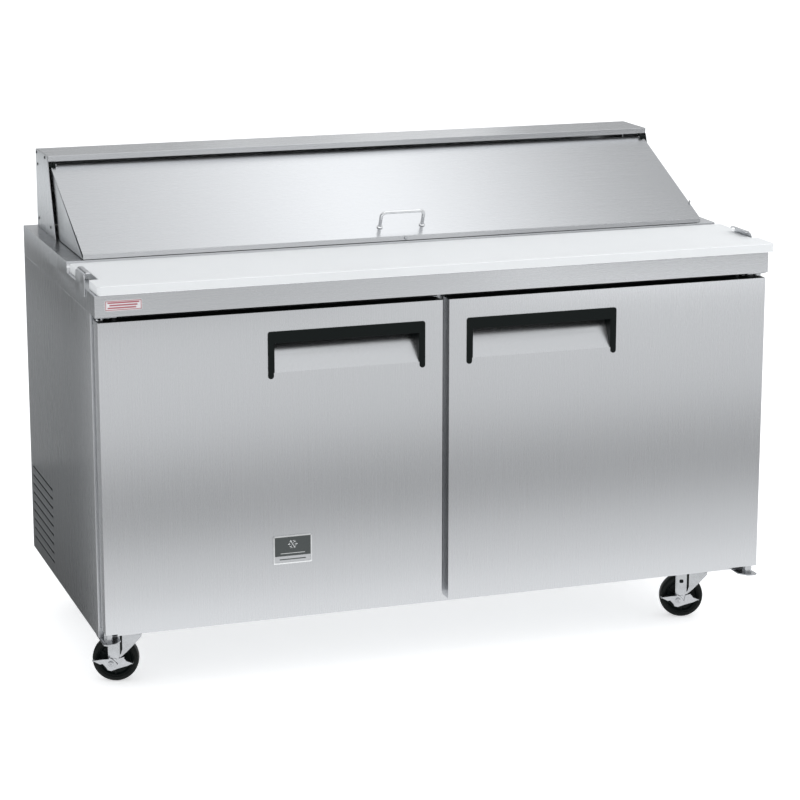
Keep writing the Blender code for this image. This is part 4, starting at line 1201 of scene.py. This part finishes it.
def caster_fork(word, matrix):
    """A pressed fork: two legs with rounded edges, a bridge, a ball race and the axle's nuts."""
    x = -TRAIL
    inner, outer, top = 0.0190, 0.0214, 0.1080
    bm = new()
    for side in (-1, 1):
        leg = add_prism(new(), leg_outline(), "Y", side * inner, side * outer)
        faces = [edge for edge in leg.edges if abs(edge.verts[0].co.y - edge.verts[1].co.y) < 1e-6]
        merge_rounded(bm, leg, faces, 0.0006)
    rib = ((x - 0.0130, 0.0560), (x + 0.0100, 0.0560), (x + 0.0100, top), (x - 0.0130, top))
    pressed = add_prism(new(), rib, "Y", -outer + 0.0002, -outer - 0.0010)
    raised = [edge for edge in pressed.edges if all(vert.co.y < -outer - 0.0009 for vert in edge.verts)]
    merge_rounded(bm, pressed, raised, 0.0010)
    add_box(bm, (x - 0.0150, -outer, 0.1088), (0.0215, outer, 0.1128), 0.0012, 3)
    race = (
        (0.0, 0.1118), (0.0240, 0.1118), (0.0283, 0.1122), (0.0290, 0.1135),
        (0.0287, 0.1158), (0.0270, 0.1169), (0.0100, 0.1170), (0.0, 0.1170),
    )
    king_pin = ((0.0, 0.0), (0.0055, 0.0), (0.0075, 0.0016), (0.0075, 0.0040), (0.0, 0.0042))
    add_turned(bm, race, (0, 0, 0), (0, 0, 1), 48)
    add_turned(bm, king_pin, (0, 0, 0.1050), (0, 0, 1), 24)
    add_rod(bm, (x, -0.0228, AXLE), (x, 0.0250, AXLE), 0.0044, 24)
    if "brake_" + word not in JOINTS:
        add_hex(bm, (x, -0.0267, AXLE), (0, -1, 0), 0.0076, 0.0058)
    node = "caster_fork_" + word
    piece("look_" + node, placed(bm, matrix), "zinc", BODY_OF[node], "zinc_plate", (node,), smooth=40)
    # Black insets in the fork's slot hole and along its pressed crease: painted shade in the hole and the crease.
    opening = rounded((x - 0.0060, 0.0850), (x + 0.0035, 0.0935), 0.003)
    slot = add_prism(new(), opening, "Y", -outer - 0.0009, -outer - 0.0013)
    left, right, far = x + 0.0112, x + 0.0128, x + 0.0165
    crease_shade = ((left, 0.0640), (right, 0.0640), (far, 0.0760), (far, top), (left, top))
    add_prism(slot, crease_shade, "Y", -outer + 0.0001, -outer - 0.0002)
    piece("caster_slot_shade_" + word, placed(slot, matrix), "black", BODY_OF[node], "zinc_plate")


def caster_wheel(word, matrix):
    """A solid wheel: a dished web with ribs, a step where the tyre starts and a slightly crowned tread."""
    web = (
        (0.0049, 0.0176), (0.0125, 0.0180), (0.0142, 0.0168), (0.0150, 0.0110), (0.0165, 0.0088),
        (0.0325, 0.0080), (0.0345, 0.0098), (0.0362, 0.0126), (0.0385, 0.0130),
    )
    tyre = (
        (0.0390, 0.0120), (0.0398, 0.0120), (0.0404, 0.0142), (0.0440, 0.0150),
        (0.0475, 0.0138), (0.0495, 0.0112), (0.0503, 0.0060),
    )
    half = web + tyre
    profile = half + ((AXLE, 0.0),) + tuple((radius, -height) for radius, height in reversed(half))
    side_bands = len(web) - 1
    bands = [1] * side_bands + [0] * (len(profile) - 2 * len(web) + 1) + [1] * (side_bands + 1)
    bm = add_turned(new(), profile, (-TRAIL, 0, AXLE), (0, 1, 0), 72, closed=True, materials=bands)
    for side in (-1, 1):
        centre = Vector((-TRAIL, side * 0.0086, AXLE))
        for angle in spokes(6, 0.5):
            first = len(bm.faces)
            add_tube(bm, (centre + outward(angle) * 0.0130, centre + outward(angle) * 0.0350), 0.0022, 8)
            bm.faces.ensure_lookup_table()
            for face in bm.faces[first:]:
                face.material_index = 1
    node = "caster_wheel_" + word
    piece("look_" + node, placed(bm, matrix), ("tyre", "black"), BODY_OF[node], "tyre", (node,), smooth=40)


def caster_brake(word, matrix):
    """A pressed pedal with two raised wings, a notch between them and a rivet low on its left."""
    x = -TRAIL
    outline = (
        (-0.0490, 0.0004), (-0.0413, -0.0037), (-0.0322, -0.0084), (-0.0266, -0.0070), (-0.0191, -0.0154),
        (-0.0157, -0.0213), (-0.0084, -0.0231), (0.0064, -0.0176), (0.0268, -0.0114), (0.0392, -0.0054),
        (0.0402, -0.0030), (0.0313, 0.0007), (0.0257, 0.0029), (0.0211, 0.0092), (0.0086, 0.0051),
        (0.0059, -0.0092), (0.0018, -0.0037), (-0.0050, 0.0029), (-0.0118, 0.0066), (-0.0243, 0.0062),
        (-0.0480, 0.0026),
    )
    left_wing = (
        (-0.0480, 0.0026), (-0.0243, 0.0062), (-0.0118, 0.0066),
        (-0.0118, 0.0052), (-0.0243, 0.0048), (-0.0480, 0.0012),
    )
    right_wing = (
        (0.0211, 0.0092), (0.0257, 0.0029), (0.0313, 0.0007), (0.0398, -0.0028),
        (0.0393, -0.0040), (0.0306, -0.0007), (0.0246, 0.0018), (0.0201, 0.0082),
    )
    pedal, wings = (-0.0250, -0.0226), (-0.0345, -0.0240)
    bm = new()
    for points, (front, back) in ((outline, pedal), (left_wing, wings), (right_wing, wings)):
        add_prism(bm, [(x + u, AXLE + w) for u, w in points], "Y", front, back)
    add_dome(bm, (x - 0.0086, -0.0249, AXLE - 0.0064), (0, -1, 0), 0.0066, 0.0026)
    node = "caster_brake_" + word
    piece("look_" + node, placed(bm, matrix), "zinc", BODY_OF[node], "zinc_plate", (node,), smooth=35)


# ---------------------------------------------------------------- stage, light and camera


# Cards that only shiny surfaces see: each spans X from its near edge to its far one, or lies in a plane of
# constant X, and its brightness follows (place, strength) stops along one axis.
COLD, COOL = (0.95, 0.985, 1.0), (0.985, 0.995, 1.0)
WIDE = 2.6
FRONT = -0.98
SEAM, BROW, CROWN = 0.70, 0.778, 1.06
DOOR_STOPS = (
    (0.0, 0.86), (0.08, 0.84), (0.12, 0.76), (0.175, 0.55), (0.23, 0.45),
    (0.28, 0.49), (0.34, 0.64), (0.42, 0.82), (0.55, 0.87), (0.70, 0.87),
)
NOSING_STOPS = ((-1.0, 0.54), (-0.31, 0.56), (0.265, 1.02), (0.61, 1.62), (1.3, 1.60))
HOOD_STRIP_STOPS = ((-0.26, 0.70), (0.0, 0.68), (0.22, 0.66), (0.45, 0.78), (0.62, 0.24), (1.3, 0.14))
SIDE_STOPS = (
    (0.0, 0.12), (0.16, 0.18), (0.39, 0.205), (0.63, 0.25), (0.815, 0.10),
    (0.84, 0.84), (1.00, 0.84), (1.03, 0.10), (1.60, 0.10),
)
LID_STOPS = (
    (-1.6, 0.50), (-0.8, 0.72), (-0.23, 0.90), (0.10, 1.12), (0.45, 1.50), (0.70, 1.64),
    (0.95, 1.44), (1.20, 1.12), (1.45, 0.80), (1.80, 0.58), (2.90, 0.50),
)
HOOD_TOP_STOPS = (
    (-0.60, 0.48), (0.25, 0.54), (0.49, 0.75), (0.73, 0.70), (0.96, 0.91),
    (1.16, 0.92), (1.36, 0.98), (1.55, 0.52), (2.20, 0.45),
)
CARDS = (
    ("front", (-WIDE, FRONT, 0.0), (WIDE, FRONT, SEAM), "Z", DOOR_STOPS, COOL),
    ("nosing", (-WIDE, FRONT, SEAM), (WIDE, FRONT, BROW), "X", NOSING_STOPS, COOL),
    ("hood_strip", (-WIDE, FRONT, BROW), (WIDE, FRONT, CROWN), "X", HOOD_STRIP_STOPS, COOL),
    ("foot", (-WIDE, FRONT, 0.001), (WIDE, -0.42, 0.001), "X", ((-WIDE, 1.14), (WIDE, 1.14)), COOL),
    ("eave", (-1.2, -1.7, 3.0), (2.6, -0.1, 3.0), "X", ((-1.2, 1.5), (2.6, 1.5)), COOL),
    ("scoop", (-1.5, -2.0, 1.5), (2.5, -2.0, 3.6), "X", ((-1.5, 0.95), (2.5, 0.95)), COOL),
    ("left", (-0.90, -0.15, 0.0), (-0.90, 1.6, 1.60), "Z", SIDE_STOPS, COLD),
    ("ground", (-0.90, -0.15, 0.001), (-0.766, 1.6, 0.001), "Y", ((-0.15, 0.12), (1.6, 0.12)), COOL),
    ("far_left", (-4.0, 4.3, 1.1), (-1.0, 4.3, 3.0), "X", ((-4.0, 0.08), (-1.0, 0.08)), COOL),
    ("top", (-1.6, 0.2, 2.6), (2.9, 2.6, 3.3), "X", LID_STOPS, COOL),
    ("behind", (-0.6, 3.0, 1.2), (2.2, 3.0, 2.4), "X", HOOD_TOP_STOPS, COOL),
)


def glowing(name, stops, axis, hue):
    """An emission whose strength follows the stops along an axis."""
    material = bpy.data.materials.new(name)
    material.use_nodes = True
    tree = material.node_tree
    tree.nodes.clear()
    kinds = ("TexCoord", "SeparateXYZ", "MapRange", "ValToRGB", "Emission", "OutputMaterial")
    place, split, span, ramp, glow, out = (tree.nodes.new("ShaderNode" + kind) for kind in kinds)
    low, high = stops[0][0], stops[-1][0]
    span.inputs["From Min"].default_value = low
    span.inputs["From Max"].default_value = high
    strongest = max(strength for _, strength in stops)
    glow.inputs["Strength"].default_value = strongest
    ramp.color_ramp.interpolation = "LINEAR"
    while len(ramp.color_ramp.elements) < len(stops):
        ramp.color_ramp.elements.new(0.5)
    for element, (position, strength) in zip(ramp.color_ramp.elements, stops):
        element.position = (position - low) / (high - low)
        element.color = (*(strength / strongest * channel for channel in hue), 1.0)
    links = (
        (place.outputs["Object"], split.inputs["Vector"]),
        (split.outputs[axis], span.inputs["Value"]),
        (span.outputs["Result"], ramp.inputs["Fac"]),
        (ramp.outputs["Color"], glow.inputs["Color"]),
        (glow.outputs["Emission"], out.inputs["Surface"]),
    )
    for source, target in links:
        tree.links.new(source, target)
    return material


def cards():
    for name, low, high, axis, stops, hue in CARDS:
        (x0, y0, z0), (x1, y1, z1) = low, high
        corners = [low, (x1, y0, z0), high, (x0, y1, z1)]
        if x0 == x1:
            corners = [low, (x0, y1, z0), high, (x0, y0, z1)]
        mesh = bpy.data.meshes.new(name + "_card")
        mesh.from_pydata(corners, [], [(0, 1, 2, 3)])
        mesh.materials.append(glowing(name + "_glow", stops, axis, hue))
        obj = bpy.data.objects.new(name + "_card", mesh)
        bpy.context.collection.objects.link(obj)
        obj.visible_camera = False
        obj.visible_diffuse = False
        obj.visible_shadow = False
        obj.visible_transmission = False


def stage():
    """The pale floor, which glows a little so that it stays even."""
    reach, drop = 30.0, -0.0004
    mesh = bpy.data.meshes.new("floor")
    corners = [(-reach, -reach, drop), (reach, -reach, drop), (reach, reach, drop), (-reach, reach, drop)]
    mesh.from_pydata(corners, [], [(0, 1, 2, 3)])
    look = Look("pale_floor", (0.93, 0.93, 0.93), 0.9)
    look.set("Specular IOR Level", 0.0)
    look.set("Emission Color", (1.0, 1.0, 1.0, 1.0))
    look.set("Emission Strength", 0.52)
    mesh.materials.append(look.material)
    floor = bpy.data.objects.new("floor", mesh)
    bpy.context.collection.objects.link(floor)


def area_light(name, location, target, size, power):
    """A soft rectangle of light that shiny surfaces don't mirror."""
    data = bpy.data.lights.new(name, "AREA")
    data.shape = "RECTANGLE"
    data.size, data.size_y = size
    data.energy = power
    light = bpy.data.objects.new(name, data)
    light.location = location
    light.rotation_euler = (Vector(target) - Vector(location)).to_track_quat("-Z", "Y").to_euler()
    light.visible_glossy = False
    light.visible_camera = False
    bpy.context.collection.objects.link(light)


def lights():
    """An even pale sky, a large light overhead and a fill from the right."""
    world = bpy.data.worlds.new("studio")
    world.use_nodes = True
    sky = world.node_tree.nodes["Background"]
    sky.inputs["Color"].default_value = (0.97, 0.985, 1.0, 1.0)
    sky.inputs["Strength"].default_value = 0.80
    bpy.context.scene.world = world
    area_light("overhead", (0.8, -1.2, 3.4), (0.1, 0.0, 0.6), (3.2, 2.4), 16.0)
    area_light("right_fill", (3.0, -1.2, 2.2), (0.6, 0.0, 0.8), (1.8, 2.2), 18.0)


def camera():
    """Looks down a little at the table from its front left."""
    data = bpy.data.cameras.new("camera")
    data.sensor_width = 36.0
    data.lens = 115.15
    data.shift_y = -0.05
    obj = bpy.data.objects.new("camera", data)
    obj.location = (-1.8440, -5.4256, 1.9123)
    obj.rotation_euler = (math.radians(77.179), 0.0, math.radians(-19.013))
    bpy.context.collection.objects.link(obj)
    bpy.context.scene.camera = obj


camera()
plain_nodes()
cabinet_sheets()
louvres()
fasteners()
bracket_hooks()
label_plate()
gap_shade_strips()
doors()
hinges()
lid()
food_pans()
wire_shelves()
shelf_supports()
evaporator()
thermostat()
machine_bay()
casters()
settle_normals()
stage()
cards()
lights()
